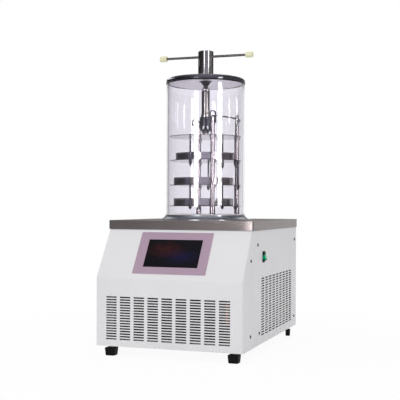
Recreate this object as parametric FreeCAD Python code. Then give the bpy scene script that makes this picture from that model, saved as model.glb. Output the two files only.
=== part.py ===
import FreeCAD, Part
import math
import os

# Bench-top freeze dryer with a clear top-press drying chamber.
# Millimetres, +Z up, front towards -Y, right-hand side towards +X.
# The origin is on the bench, under the middle of the whole envelope.

V = FreeCAD.Vector

# ---- driving dimensions -----------------------------------------------------------------

SHEET = 1.5            # painted sheet of the covers
GAP = 0.3              # room between pieces that slide or turn past each other
EPS = 1.0              # how far a cutting solid runs past a face

FOOT_H = 30.0          # cabinet's underside over the bench
BLOCK_H = 26.0         # front feet: square rubber blocks that narrow downwards
BLOCK_LOW = 30.0
BLOCK_TOP = 34.0
BLOCK_CORNER = 6.0
BLOCK_X = (-190.0, 201.0)
BLOCK_INSET = 20.3     # from the front face to the middle of a block
BUMPER_R = 7.0         # rear feet: small round bumpers
BUMPER_X = 220.0
BUMPER_INSET = 75.0
STUD_R = 4.0           # stud that each foot is screwed on

BODY_W = 467.0
BODY_D = 666.6
KNEE_H = 207.6         # height of the upright front face
SLANT_H = 351.5        # height of the cabinet, where the slanted face ends
SLANT_RUN = 96.7       # how far the slanted face leans back
FOLD_R = 6.0           # outer radius of the front cover's folds
SEAM_FROM_FRONT = 105.3
LIP = 8.0              # folded-in edge of the covers
PAN_T = 2.0            # floor sheet
PAN_WALL_H = 24.0
ANGLE_LEG = 20.0       # angle bar of the inner frame
ANGLE_T = 2.0

PORT_REACH = 28.0      # how far the rear pipe stub stands out
DECK_H = 28.0
DECK_OVER = 2.0

CHAMBER_R = 130.0
CHAMBER_WALL = 6.0
CHAMBER_FROM_MID = 6.0   # chamber axis behind the cabinet's middle
CHAMBER_LOW = 398.0      # heights over the cabinet's underside
CHAMBER_TOP = 827.0
LID_T = 12.0
LID_GASKET_T = 2.0
LID_BORE = 12.0
FLARE_IN_R = 118.3       # steel flare round the chamber's foot
FLARE_OUT_R = 153.4
FLARE_NECK_R = 132.6
FLARE_RISE = 16.0
FOOT_RING_IN_R = 121.0   # rubber ring between flare and chamber

GLAND_R = 14.0
GLAND_TIP_R = 8.0
GLAND_FLANGE_R = 20.0
SCREW_R = 6.0
RAM_R = 13.8
RAM_COLLAR_R = 15.5
RAM_TOP_UP = 813.0       # heights over the cabinet's underside
RAM_LOW_UP = 731.0
HEAD_R = 20.3
HEAD_TOP_UP = 719.5
HEAD_SHOULDER_UP = 691.0
HEAD_TIP_R = 4.5
TIP_UP = 667.0
BOSS_R = 20.0
BOSS_H = 18.0
SLEEVE_R = 25.3
SLEEVE_LOW_UP = 861.0
SLEEVE_TOP_UP = 938.5
SLEEVE_CAP_T = 30.0
HANDLE_UP = 920.5
HANDLE_REACH = 162.3
HANDLE_R = 4.0
CAP_L = 24.0
CAP_R = 9.6
CAP_EASE = 2.5
CAP_GRIP = 14.0          # how far the bar goes into a grip

TRAP_R = 107.5         # inner radius of the cold trap
TRAP_DEPTH = 160.0
TRAP_WALL = 1.5
TRAP_RIM_R = 118.0
DRAIN_R = 5.5
DRAIN_STUB = 14.0
FOAM_HALF = 132.0
BOARD_HALF = 80.0
BOARD_T = 1.6
BOARD_LOW_UP = 195.0
BOARD_TOP_UP = 305.0
BOARD_FROM_SEAM = 18.0

COMPRESSOR_X = -118.0
COMPRESSOR_FROM_MID = 150.0
COMPRESSOR_R = 68.0
COMPRESSOR_H = 150.0
MOUNT_H = 12.0
MOUNT_HALF = 9.0
CONDENSER_FINS = 20
CONDENSER_T = 32.0
CONDENSER_BACK = 12.0
CONDENSER_FROM_SIDE = 18.0
CONDENSER_TOP_UP = 196.0
FAN_R = 72.0
FAN_HUB_R = 16.0
FAN_SHAFT_R = 4.0
FAN_MOTOR_R = 26.0
SHROUD_T = 24.0
SHROUD_HALF = 86.0

POST_R = 7.0
POST_FOOT_R = 9.0
POST_CIRCLE = 109.0
POST_ANGLES = (31.0, 121.0, 211.0)      # from the front, towards +X
POST_TOP_UP = 713.0
RACK_RING_T = 3.0
RACK_RING_IN_R = 101.0
RACK_RING_R = 117.0
BRACE_IN_R = 112.8
BRACE_R = 116.4
BRACE_T = 4.0
HOOK_T = 4.0
HOOK_WIDE = 6.0
HOOK_ANGLES = (121.0, 31.0, 300.0)      # way each post's hook leans
HOOK_STARTS = (-8.8, -8.8, 0.0)         # first leg, from the post's axis
HOOK_SPANS = (17.6, 17.6, 23.0)
HOOK_TOPS_UP = (732.0, 732.0, 725.0)
HOOK_FEET_UP = (691.0, 691.0, 707.0)
HOOK_TAILS_UP = (691.0, 691.0, 701.0)
SHELF_R = 119.0
SHELF_T = 2.0
SHELF_Z = {"a": 653.4, "b": 574.1, "c": 493.1, "d": 425.0}
ROD_R = 3.0
ROD_ANGLES_OUTER = (-7.0, 81.0, 166.0)
ROD_ANGLES_INNER = (45.0, 103.5, 193.5)
TRAY_R = 100.0
TRAY_H = 24.0
TRAY_WALL = 1.2
TRAY_SHIFT = 6.5       # the two lower trays stand off the middle
TRAY_SHIFT_ANGLE = -70.9

VENT_PITCH_X = 44.85
VENT_PITCH_Z = 7.885
VENT_LENGTH = 34.3
VENT_HEIGHT = 4.4
FRONT_VENT_X = -198.8          # left end of the first slot
FRONT_VENT_TOP = 148.6         # top row over the cabinet's underside
SIDE_VENT_FROM_MID = -136.0
SIDE_VENT_TOP = 201.5
REAR_SLOT_X = -195.0
REAR_SLOT_LENGTH = 118.0
REAR_SLOT_HEIGHT = 5.0
REAR_SLOTS = range(60, 165, 15)

LABEL_W = 233.0
LABEL_L = 146.5
LABEL_X = -2.0
LABEL_FROM_KNEE = 16.3
SCREEN_W = 174.0
SCREEN_L = 97.3
SCREEN_FROM_KNEE = 40.0
PLATE_T = 0.8
SCREEN_EDGE = 0.4

SWITCH_FROM_MID = -113.0
SWITCH_UP = 268.0      # over the cabinet's underside
SWITCH_W = 26.0
SWITCH_H = 34.0
SWITCH_RIM = 2.0
SWITCH_HOLE = 1.2      # how far the panel's hole is inside the rim
ROCKER_W = 19.0
ROCKER_H = 26.6
ROCKER_WAIST = 24.6    # rocker's height where it stands out
ROCKER_OUT = 9.5       # its face over the pin
ROCKER_TILT = -11.0    # the rocker rests on its upper half
ROCKER_PIN_DEPTH = 4.0

PORT_X = 70.0
PORT_UP = 300.0
PORT_R = 14.0
PORT_BORE = 12.5
PORT_FLANGE_R = 20.0
PORT_INSIDE = 40.0
SOCKET_X = -170.0
SOCKET_W = 34.0
SOCKET_H = 26.0
SOCKET_RIM = 2.5
SOCKET_DEPTH = 20.0
INLET_UP = 250.0
OUTLET_UP = 300.0
VALVE_X = 70.0
VALVE_UP = 70.0
VALVE_STEM_R = 6.0
VALVE_BORE = 4.0
LEVER_T = 5.0
LEVER_LENGTH = 40.0

# ---- worked-out places ------------------------------------------------------------------

Z0 = FOOT_H                                  # cabinet's underside
FRONT_Y = -(BODY_D + PORT_REACH) / 2
REAR_Y = FRONT_Y + BODY_D
MID_Y = (FRONT_Y + REAR_Y) / 2
SEAM_Y = FRONT_Y + SEAM_FROM_FRONT
SIDE_X = BODY_W / 2
KNEE_Z = Z0 + KNEE_H
TOP_Z = Z0 + SLANT_H
DECK_Z = TOP_Z + DECK_H
AXIS_Y = MID_Y + CHAMBER_FROM_MID
SLANT_ANGLE = math.degrees(math.atan2(SLANT_H - KNEE_H, SLANT_RUN))

PAN_LOW = Z0 + SHEET
PAN_TOP = PAN_LOW + PAN_T
SWITCH_Y = MID_Y + SWITCH_FROM_MID
SWITCH_Z = Z0 + SWITCH_UP
ROCKER_PIN_X = SIDE_X - ROCKER_PIN_DEPTH
PORT_Z = Z0 + PORT_UP
INLET_Z = Z0 + INLET_UP
OUTLET_Z = Z0 + OUTLET_UP
VALVE_Z = Z0 + VALVE_UP
LEVER_Z = VALVE_Z + 14.2

TRAP_RIM_Z = DECK_Z + TRAP_WALL
TRAP_BOTTOM = DECK_Z - TRAP_DEPTH
FOAM_LOW = TRAP_BOTTOM - DRAIN_STUB
COMPRESSOR_Y = MID_Y + COMPRESSOR_FROM_MID
COMPRESSOR_LOW = PAN_TOP + MOUNT_H
CONDENSER_X1 = SIDE_X - CONDENSER_FROM_SIDE
CONDENSER_X0 = CONDENSER_X1 - CONDENSER_T
CONDENSER_Y0 = MID_Y - 110.0
CONDENSER_Y1 = MID_Y + 235.0
CONDENSER_Z0 = PAN_TOP
CONDENSER_Z1 = Z0 + CONDENSER_TOP_UP
FAN_X = CONDENSER_X0 - 20.0
FAN_Y = (CONDENSER_Y0 + CONDENSER_Y1) / 2
FAN_Z = (CONDENSER_Z0 + CONDENSER_Z1) / 2

CHAMBER_Z0 = Z0 + CHAMBER_LOW
CHAMBER_Z1 = Z0 + CHAMBER_TOP
FLARE_TOP = DECK_Z + FLARE_RISE
LID_Z0 = CHAMBER_Z1 + LID_GASKET_T
LID_Z1 = LID_Z0 + LID_T
LID_R = CHAMBER_R + 0.5
RAM_TOP = Z0 + RAM_TOP_UP
RAM_LOW = Z0 + RAM_LOW_UP
HEAD_TOP = Z0 + HEAD_TOP_UP
HEAD_SHOULDER = Z0 + HEAD_SHOULDER_UP
TIP_Z = Z0 + TIP_UP
SLEEVE_LOW = Z0 + SLEEVE_LOW_UP
SLEEVE_TOP = Z0 + SLEEVE_TOP_UP
SLEEVE_CAP = SLEEVE_TOP - SLEEVE_CAP_T
SCREW_END = SLEEVE_TOP - 24.0
HANDLE_Z = Z0 + HANDLE_UP
POST_TOP = Z0 + POST_TOP_UP
RACK_Z0 = TRAP_RIM_Z


FRONT_FEET = [(x, FRONT_Y + BLOCK_INSET) for x in BLOCK_X]
REAR_FEET = [(x, REAR_Y - BUMPER_INSET) for x in (-BUMPER_X, BUMPER_X)]


def on_axis(radius, angle):
    """Point on a circle about the chamber's axis; angle from the front, towards +X."""
    a = math.radians(angle)
    return radius * math.sin(a), AXIS_Y - radius * math.cos(a)


# ---- helpers ----------------------------------------------------------------------------

def box(x0, x1, y0, y1, z0, z1):
    return Part.makeBox(x1 - x0, y1 - y0, z1 - z0, V(x0, y0, z0))


def rod(radius, z0, z1, x=0.0, y=None):
    y = AXIS_Y if y is None else y
    return Part.makeCylinder(radius, z1 - z0, V(x, y, z0))


def bar(radius, start, end):
    """Round bar between two points."""
    way = V(*end).sub(V(*start))
    return Part.makeCylinder(radius, way.Length, V(*start), way)


def turned(profile, x=0.0, y=None):
    """Solid of revolution about an upright axis from (radius, height) corners."""
    y = AXIS_Y if y is None else y
    corners = [V(x + r, y, z) for r, z in profile]
    face = Part.Face(Part.makePolygon(corners + corners[:1]))
    return face.revolve(V(x, y, 0), V(0, 0, 1), 360)


def joined(shapes):
    """One solid from shapes that overlap or touch."""
    first = shapes[0]
    return first.fuse(shapes[1:]).removeSplitter() if len(shapes) > 1 else first


def group(shapes):
    """Separate solids that share one node."""
    return Part.makeCompound(shapes)


def leaned(shape):
    """Carry a shape drawn on the ground (y up the slope, z out of it) to the slanted face."""
    out = shape.copy()
    out.rotate(V(0, 0, 0), V(1, 0, 0), SLANT_ANGLE)
    out.translate(V(0, FRONT_Y, KNEE_Z))
    return out


def vent_field(columns, rows, first_a, top_z, place):
    """Slots in columns and rows; place(a, z) makes one slot's cutter."""
    return [
        place(first_a + i * VENT_PITCH_X, top_z - j * VENT_PITCH_Z)
        for i in range(columns)
        for j in range(rows)
    ]


# ---- cabinet ----------------------------------------------------------------------------

def front_cover():
    """One folded sheet: upright face, slanted face, two cheeks and turned-in lips."""
    side = [
        V(-SIDE_X, FRONT_Y, Z0),
        V(-SIDE_X, FRONT_Y, KNEE_Z),
        V(-SIDE_X, FRONT_Y + SLANT_RUN, TOP_Z),
        V(-SIDE_X, SEAM_Y, TOP_Z),
        V(-SIDE_X, SEAM_Y, Z0),
    ]
    blank = Part.Face(Part.makePolygon(side + side[:1])).extrude(V(BODY_W, 0, 0))
    folds = [
        e for e in blank.Edges
        if max(v.Point.y for v in e.Vertexes) < SEAM_Y - 1
        and min(v.Point.z for v in e.Vertexes) < TOP_Z - 1
        and not all(abs(v.Point.z - Z0) < 0.1 for v in e.Vertexes)
    ]
    blank = blank.makeFillet(FOLD_R, folds)
    open_faces = [f for f in blank.Faces if abs(f.CenterOfMass.y - SEAM_Y) < 0.1]
    shell = blank.makeThickness(open_faces, -SHEET, 0.01)
    cuts = [
        box(-SIDE_X + LIP, SIDE_X - LIP, FRONT_Y + LIP, SEAM_Y + EPS, Z0 - EPS, Z0 + SHEET + EPS),
        box(-SIDE_X + LIP, SIDE_X - LIP, SEAM_Y - 4, SEAM_Y + EPS, TOP_Z - 4, TOP_Z + EPS),
    ]
    reach = 20

    def slot(x, z):
        half = VENT_HEIGHT / 2
        return box(x, x + VENT_LENGTH, FRONT_Y - reach, FRONT_Y + reach, z - half, z + half)

    cuts += vent_field(9, 17, FRONT_VENT_X, Z0 + FRONT_VENT_TOP, slot)
    window = box(
        LABEL_X - SCREEN_W / 2 + 2, LABEL_X + SCREEN_W / 2 - 2,
        SCREEN_FROM_KNEE + 2, SCREEN_FROM_KNEE + SCREEN_L - 2, -reach, reach,
    )
    cuts.append(leaned(window))
    return shell.cut(Part.makeCompound(cuts))


def side_panel(side):
    """Flat panel with lips turned in on all four edges; side is +1 right, -1 left."""
    deep = LIP + SHEET
    outer = box(SIDE_X - deep, SIDE_X, SEAM_Y + GAP, REAR_Y - SHEET, Z0, TOP_Z)
    outer = outer.makeFillet(1.2, [
        e for e in outer.Edges if all(abs(v.Point.x - SIDE_X) < 0.01 for v in e.Vertexes)
    ])
    inner = box(
        SIDE_X - deep - EPS, SIDE_X - SHEET,
        SEAM_Y + GAP + SHEET, REAR_Y - 2 * SHEET, Z0 + SHEET, TOP_Z - SHEET,
    )
    panel = outer.cut(inner)
    if side < 0:
        return panel.mirror(V(0, 0, 0), V(1, 0, 0))
    x0, x1 = SIDE_X - 5, SIDE_X + 5

    def slot(y, z):
        return box(x0, x1, y, y + VENT_LENGTH, z - VENT_HEIGHT / 2, z + VENT_HEIGHT / 2)

    half_w = SWITCH_W / 2 - SWITCH_HOLE
    half_h = SWITCH_H / 2 - SWITCH_HOLE
    cuts = vent_field(9, 23, MID_Y + SIDE_VENT_FROM_MID, Z0 + SIDE_VENT_TOP, slot)
    cuts.append(box(
        x0, x1, SWITCH_Y - half_w, SWITCH_Y + half_w, SWITCH_Z - half_h, SWITCH_Z + half_h,
    ))
    return panel.cut(Part.makeCompound(cuts))


def rear_panel():
    """Plain sheet with slots behind the compressor and holes for the rear fittings."""
    wide = SIDE_X - 0.5
    y0, y1 = REAR_Y - 5, REAR_Y + 5
    sheet = box(-wide, wide, REAR_Y - SHEET, REAR_Y, Z0, TOP_Z)
    x1 = REAR_SLOT_X + REAR_SLOT_LENGTH
    cuts = [box(REAR_SLOT_X, x1, y0, y1, z, z + REAR_SLOT_HEIGHT) for z in REAR_SLOTS]
    cuts.append(bar(PORT_R + GAP, (PORT_X, y0, PORT_Z), (PORT_X, y1, PORT_Z)))
    cuts.append(bar(VALVE_STEM_R + GAP, (VALVE_X, y0, VALVE_Z), (VALVE_X, y1, VALVE_Z)))
    half_w, half_h = SOCKET_W / 2 - 3, SOCKET_H / 2 - 2.5
    for z in (INLET_Z, OUTLET_Z):
        cuts.append(box(SOCKET_X - half_w, SOCKET_X + half_w, y0, y1, z - half_h, z + half_h))
    return sheet.cut(Part.makeCompound(cuts))


def base_pan():
    """Floor sheet with its edges turned up inside the covers, and a stud for each foot."""
    inset = SHEET + LIP + 0.7
    x1 = SIDE_X - inset
    y0, y1 = FRONT_Y + inset, REAR_Y - inset
    top = PAN_LOW + PAN_WALL_H
    outer = box(-x1, x1, y0, y1, PAN_LOW, top)
    inner = box(-x1 + PAN_T, x1 - PAN_T, y0 + PAN_T, y1 - PAN_T, PAN_TOP, top + EPS)
    studs = [rod(STUD_R, BLOCK_H, PAN_LOW + EPS, x, y) for x, y in FRONT_FEET + REAR_FEET]
    return joined([outer.cut(inner)] + studs)


def inner_frame():
    """Welded angle frame that carries the worktop and the cold trap."""
    leg, wall = ANGLE_LEG, ANGLE_T
    x1 = SIDE_X - SHEET - LIP - 4.0
    y0, y1 = SEAM_Y + 12, REAR_Y - SHEET - 12
    top = TOP_Z - 0.5
    pieces = []
    for sx in (-1, 1):
        for y, sy in ((y0, 1), (y1, -1)):
            a = sorted((sx * x1, sx * (x1 - leg)))
            b = sorted((sx * x1, sx * (x1 - wall)))
            pieces.append(box(a[0], a[1], min(y, y + sy * wall), max(y, y + sy * wall), PAN_TOP, top))
            pieces.append(box(b[0], b[1], min(y, y + sy * leg), max(y, y + sy * leg), PAN_TOP, top))
        r = sorted((sx * x1, sx * (x1 - leg)))
        pieces.append(box(r[0], r[1], y0, y1, top - wall, top))
    for y, sy in ((y0, 1), (y1, -1)):
        pieces.append(box(-x1, x1, min(y, y + sy * leg), max(y, y + sy * leg), top - wall, top))
    shelf = FOAM_LOW
    for y in (AXIS_Y - 100, AXIS_Y + 80):
        pieces.append(box(-x1, x1, y, y + leg, shelf - wall, shelf))
    for sx in (-1, 1):
        r = sorted((sx * x1, sx * (x1 - leg)))
        pieces.append(box(r[0], r[1], y0, y1, shelf - wall, shelf))
    return joined(pieces)


def worktop():
    """Stainless deck: a pan turned over, with a round mouth for the cold trap."""
    x1 = SIDE_X + DECK_OVER
    y0, y1 = FRONT_Y + SLANT_RUN - DECK_OVER, REAR_Y + DECK_OVER
    block = box(-x1, x1, y0, y1, TOP_Z, DECK_Z)
    uprights = [e for e in block.Edges if abs(e.Vertexes[0].Point.z - e.Vertexes[1].Point.z) > 5]
    block = block.makeFillet(3.0, uprights)
    wall = SHEET
    hollow = box(-x1 + wall, x1 - wall, y0 + wall, y1 - wall, TOP_Z - EPS, DECK_Z - wall)
    return block.cut(hollow).cut(rod(TRAP_R + TRAP_WALL + GAP, TOP_Z, DECK_Z + EPS))


def block_outline(width, z):
    """Square wire with rounded corners at a height."""
    half = width / 2
    square = box(-half, half, -half, half, z, z + EPS)
    square = square.makeFillet(BLOCK_CORNER, [e for e in square.Edges if abs(e.Length - EPS) < 0.01])
    low = [f for f in square.Faces if abs(f.CenterOfMass.z - z) < 0.01]
    return low[0].OuterWire


def feet():
    """Two square blocks in front and two small bumpers behind, all screwed on studs."""
    block = Part.makeLoft([block_outline(BLOCK_LOW, 0), block_outline(BLOCK_TOP, BLOCK_H)], True)
    blocks = []
    for x, y in FRONT_FEET:
        foot = block.copy()
        foot.translate(V(x, y, 0))
        blocks.append(foot)
    bumpers = [Part.makeCone(BUMPER_R - 1, BUMPER_R, BLOCK_H, V(x, y, 0)) for x, y in REAR_FEET]
    return group(blocks + bumpers)


# ---- control panel ----------------------------------------------------------------------

def label_plate():
    """Thin printed plate with a window for the touch screen."""
    s0 = LABEL_FROM_KNEE
    plate = box(LABEL_X - LABEL_W / 2, LABEL_X + LABEL_W / 2, s0, s0 + LABEL_L, 0, PLATE_T)
    plate = plate.makeFillet(2.5, [e for e in plate.Edges if abs(e.Length - PLATE_T) < 0.01])
    window = box(
        LABEL_X - SCREEN_W / 2, LABEL_X + SCREEN_W / 2,
        SCREEN_FROM_KNEE, SCREEN_FROM_KNEE + SCREEN_L, -EPS, PLATE_T + EPS,
    )
    return leaned(plate.cut(window))


def screen_glass():
    edge = SCREEN_EDGE
    glass = box(
        LABEL_X - SCREEN_W / 2 + edge, LABEL_X + SCREEN_W / 2 - edge,
        SCREEN_FROM_KNEE + edge, SCREEN_FROM_KNEE + SCREEN_L - edge, 0, PLATE_T - 0.2,
    )
    return leaned(glass)


def screen_housing():
    """Display unit behind the slanted face, with a shallower step at its rim."""
    x0, x1 = LABEL_X - 93, LABEL_X + 93
    s0, s1 = SCREEN_FROM_KNEE - 8, SCREEN_FROM_KNEE + SCREEN_L + 8
    rim = box(x0, x1, s0, s1, -SHEET - 6, -SHEET)
    back = box(x0 + 8, x1 - 8, s0 + 8, s1 - 8, -SHEET - 30, -SHEET - 6)
    return leaned(rim.fuse(back).removeSplitter())


def switch_bezel():
    """Snap-in switch frame with its body behind the panel."""
    half_w, half_h = SWITCH_W / 2, SWITCH_H / 2
    frame = box(SIDE_X, SIDE_X + SWITCH_RIM, SWITCH_Y - half_w, SWITCH_Y + half_w,
                SWITCH_Z - half_h, SWITCH_Z + half_h)
    frame = frame.makeFillet(1.2, [
        e for e in frame.Edges if all(v.Point.x > SIDE_X + 1 for v in e.Vertexes)
    ])
    half_w -= SWITCH_HOLE + GAP
    half_h -= SWITCH_HOLE + GAP
    body = box(SIDE_X - 22, SIDE_X + 1, SWITCH_Y - half_w, SWITCH_Y + half_w,
               SWITCH_Z - half_h, SWITCH_Z + half_h)
    half_w = ROCKER_W / 2 + GAP
    half_h = ROCKER_H / 2 + 1
    well = box(SIDE_X - 14, SIDE_X + 5, SWITCH_Y - half_w, SWITCH_Y + half_w,
               SWITCH_Z - half_h, SWITCH_Z + half_h)
    return frame.fuse(body).removeSplitter().cut(well)


def switch_rocker():
    """Rocker with two dished faces, tipped about its pin."""
    half, waist = ROCKER_H / 2, ROCKER_WAIST / 2
    x0 = ROCKER_PIN_X
    outline = [
        V(x0 - 5, 0, -half * 0.55),
        V(x0 + 3, 0, -half),
        V(x0 + ROCKER_OUT, 0, -waist),
        V(x0 + ROCKER_OUT - 1.8, 0, 0),
        V(x0 + ROCKER_OUT, 0, waist),
        V(x0 + 3, 0, half),
        V(x0 - 5, 0, half * 0.55),
    ]
    rocker = Part.Face(Part.makePolygon(outline + outline[:1])).extrude(V(0, ROCKER_W, 0))
    rocker.translate(V(0, SWITCH_Y - ROCKER_W / 2, SWITCH_Z))
    rocker.rotate(V(ROCKER_PIN_X, SWITCH_Y, SWITCH_Z), V(0, 1, 0), ROCKER_TILT)
    return rocker


# ---- rear fittings ----------------------------------------------------------------------

def vacuum_port():
    """Pump connection: a straight pipe with a small-flange end outside the rear panel."""
    inside = REAR_Y - PORT_INSIDE
    end = REAR_Y + PORT_REACH
    pipe = bar(PORT_R, (PORT_X, inside, PORT_Z), (PORT_X, end, PORT_Z))
    flange = bar(PORT_FLANGE_R, (PORT_X, end - 3, PORT_Z), (PORT_X, end, PORT_Z))
    bore = bar(PORT_BORE, (PORT_X, inside - EPS, PORT_Z), (PORT_X, end + EPS, PORT_Z))
    return joined([pipe, flange]).cut(bore)


def socket_body(z):
    """Flanged appliance connector body with its front on the rear panel."""
    half_w, half_h = SOCKET_W / 2, SOCKET_H / 2
    flange = box(SOCKET_X - half_w, SOCKET_X + half_w, REAR_Y, REAR_Y + SOCKET_RIM, z - half_h, z + half_h)
    half_w -= 3.5
    half_h -= 3
    back = REAR_Y - SOCKET_DEPTH
    body = box(SOCKET_X - half_w, SOCKET_X + half_w, back, REAR_Y + 0.5, z - half_h, z + half_h)
    return flange.fuse(body).removeSplitter()


def power_inlet():
    """Mains inlet with three blades in a recess with two cut corners."""
    z, depth = INLET_Z, 16.0
    floor = REAR_Y + SOCKET_RIM - depth
    outline = [(-12, -8), (12, -8), (12, 4.5), (8.5, 8), (-8.5, 8), (-12, 4.5)]
    wire = [V(SOCKET_X + a, floor, z + b) for a, b in outline]
    recess = Part.Face(Part.makePolygon(wire + wire[:1])).extrude(V(0, depth + EPS, 0))
    body = socket_body(z).cut(recess)
    for a, b in ((0, 2), (-7, -2), (7, -2)):
        blade = box(SOCKET_X + a - 1, SOCKET_X + a + 1, floor - EPS, floor + 12, z + b - 2, z + b + 2)
        body = body.fuse(blade)
    return body


def pump_outlet():
    """Outlet for the vacuum pump's lead: a plug nose with three slots."""
    z = OUTLET_Z
    outline = [(-11.5, -7.5), (11.5, -7.5), (11.5, 4), (8, 7.5), (-8, 7.5), (-11.5, 4)]
    wire = [V(SOCKET_X + a, REAR_Y + 2, z + b) for a, b in outline]
    nose = Part.Face(Part.makePolygon(wire + wire[:1])).extrude(V(0, 3.5, 0))
    body = socket_body(z).fuse(nose)
    slots = [
        box(SOCKET_X + a - 1.2, SOCKET_X + a + 1.2, REAR_Y - 8, REAR_Y + 8, z + b - 2.5, z + b + 2.5)
        for a, b in ((0, 2), (-7, -2), (7, -2))
    ]
    return body.cut(Part.makeCompound(slots))


def drain_valve():
    """Quarter-turn valve that drains the melted ice, with a hose barb outside."""
    body = box(VALVE_X - 9, VALVE_X + 9, REAR_Y + 0.5, REAR_Y + 15, VALVE_Z - 9, VALVE_Z + 9)
    stem = bar(VALVE_STEM_R, (VALVE_X, REAR_Y - 30, VALVE_Z), (VALVE_X, REAR_Y + 26, VALVE_Z))
    neck = rod(4, VALVE_Z + 8, VALVE_Z + 14, VALVE_X, REAR_Y + 8)
    bore = bar(VALVE_BORE, (VALVE_X, REAR_Y - 31, VALVE_Z), (VALVE_X, REAR_Y + 27, VALVE_Z))
    return joined([body, stem, neck]).cut(bore)


def drain_lever():
    """Flat lever on the valve's neck, lying across the pipe when shut."""
    y = REAR_Y + 8
    hub = rod(6, LEVER_Z, LEVER_Z + LEVER_T, VALVE_X, y)
    arm = box(VALVE_X, VALVE_X + LEVER_LENGTH, y - 4, y + 4, LEVER_Z + 1, LEVER_Z + LEVER_T - 1)
    return hub.fuse(arm).removeSplitter()


# ---- cold trap and refrigeration --------------------------------------------------------

def trap_well():
    """Drawn steel well with a flat rim and a drain stub in its floor."""
    t = TRAP_WALL
    outside = joined([
        rod(TRAP_RIM_R, DECK_Z, TRAP_RIM_Z),
        rod(TRAP_R + t, TRAP_BOTTOM - t, DECK_Z),
        rod(DRAIN_R, FOAM_LOW, TRAP_BOTTOM),
    ])
    inside = rod(TRAP_R, TRAP_BOTTOM, TRAP_RIM_Z + EPS)
    return outside.cut(inside).cut(rod(DRAIN_R - t, FOAM_LOW - EPS, TRAP_BOTTOM + EPS))


def trap_insulation():
    """Foamed block round the well, with the evaporator coil sealed in it."""
    half, low = FOAM_HALF, FOAM_LOW
    block = box(-half, half, AXIS_Y - half, AXIS_Y + half, low, TOP_Z - 3)
    bore = rod(TRAP_R + TRAP_WALL, TRAP_BOTTOM - TRAP_WALL, TOP_Z)
    return block.cut(bore).cut(rod(DRAIN_R, low - EPS, TRAP_BOTTOM))


def base_flange():
    """Steel flare that sweeps from the worktop up to a collar under the chamber."""
    low, top, neck = DECK_Z, FLARE_TOP, FLARE_NECK_R
    return turned([
        (FLARE_IN_R, low), (FLARE_OUT_R, low), (FLARE_OUT_R, low + 1.3), (neck + 13.4, low + 2.3),
        (neck + 7.4, low + 4.1), (neck + 3.4, low + 6.5), (neck + 1.0, low + 9.5), (neck, low + 13.0),
        (neck, top), (FLARE_IN_R, top),
    ])


def base_gasket():
    """Flat rubber ring on the flare; the chamber's foot presses on it."""
    return turned([
        (FOOT_RING_IN_R, FLARE_TOP), (FLARE_NECK_R - 0.6, FLARE_TOP),
        (FLARE_NECK_R - 0.6, CHAMBER_Z0), (FOOT_RING_IN_R, CHAMBER_Z0),
    ])


def compressor():
    """Hermetic compressor: a welded shell with sloping ends on a flat base plate."""
    r, low, top = COMPRESSOR_R, COMPRESSOR_LOW, COMPRESSOR_LOW + COMPRESSOR_H
    shell = turned([
        (0, low + 3), (r - 16, low + 3), (r, low + 26), (r, top - 38), (r - 26, top), (0, top),
    ], COMPRESSOR_X, COMPRESSOR_Y)
    plate = box(COMPRESSOR_X - 75, COMPRESSOR_X + 75, COMPRESSOR_Y - 58, COMPRESSOR_Y + 58, low, low + 4)
    return joined([shell, plate])


def compressor_mounts():
    """Four rubber blocks under the compressor's plate."""
    half = MOUNT_HALF
    spots = [(COMPRESSOR_X + sx * 62, COMPRESSOR_Y + sy * 45) for sx in (-1, 1) for sy in (-1, 1)]
    return group([
        box(x - half, x + half, y - half, y + half, PAN_TOP, COMPRESSOR_LOW) for x, y in spots
    ])


def condenser():
    """Finned air-cooled block: a comb of upright fins on a solid back."""
    pitch = (CONDENSER_Y1 - CONDENSER_Y0) / CONDENSER_FINS
    root = CONDENSER_X0 + CONDENSER_BACK
    outline = [V(CONDENSER_X0, CONDENSER_Y0, CONDENSER_Z0)]
    for i in range(CONDENSER_FINS):
        y = CONDENSER_Y0 + i * pitch
        outline += [
            V(CONDENSER_X1, y, CONDENSER_Z0), V(CONDENSER_X1, y + pitch * 0.45, CONDENSER_Z0),
            V(root, y + pitch * 0.45, CONDENSER_Z0), V(root, y + pitch, CONDENSER_Z0),
        ]
    outline.append(V(CONDENSER_X0, CONDENSER_Y1, CONDENSER_Z0))
    return Part.Face(Part.makePolygon(outline + outline[:1])).extrude(V(0, 0, CONDENSER_Z1 - CONDENSER_Z0))


def fan_shroud():
    """Sheet with a round mouth that holds the fan to the condenser."""
    x1, half = CONDENSER_X0, SHROUD_HALF
    plate = box(x1 - SHROUD_T, x1, FAN_Y - half, FAN_Y + half, CONDENSER_Z0, CONDENSER_Z1)
    mouth = bar(FAN_R + 3, (x1 - 30, FAN_Y, FAN_Z), (x1 + 5, FAN_Y, FAN_Z))
    return plate.cut(mouth)


def fan_blade():
    """Four pitched blades on a hub that turns on the motor's shaft."""
    x0 = FAN_X
    hub = bar(FAN_HUB_R, (x0, FAN_Y, FAN_Z), (x0 + 14, FAN_Y, FAN_Z))
    blades = []
    for i in range(4):
        blade = box(-0.8, 0.8, -16, 16, FAN_HUB_R - 4, FAN_R - 2)
        blade.rotate(V(0, 0, 0), V(0, 0, 1), 25)
        blade.translate(V(x0 + 7, FAN_Y, FAN_Z))
        blade.rotate(V(x0, FAN_Y, FAN_Z), V(1, 0, 0), 90 * i)
        blades.append(blade)
    bore = bar(FAN_SHAFT_R + 0.05, (x0 - EPS, FAN_Y, FAN_Z), (x0 + 10, FAN_Y, FAN_Z))
    return joined([hub] + blades).cut(bore)


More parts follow.
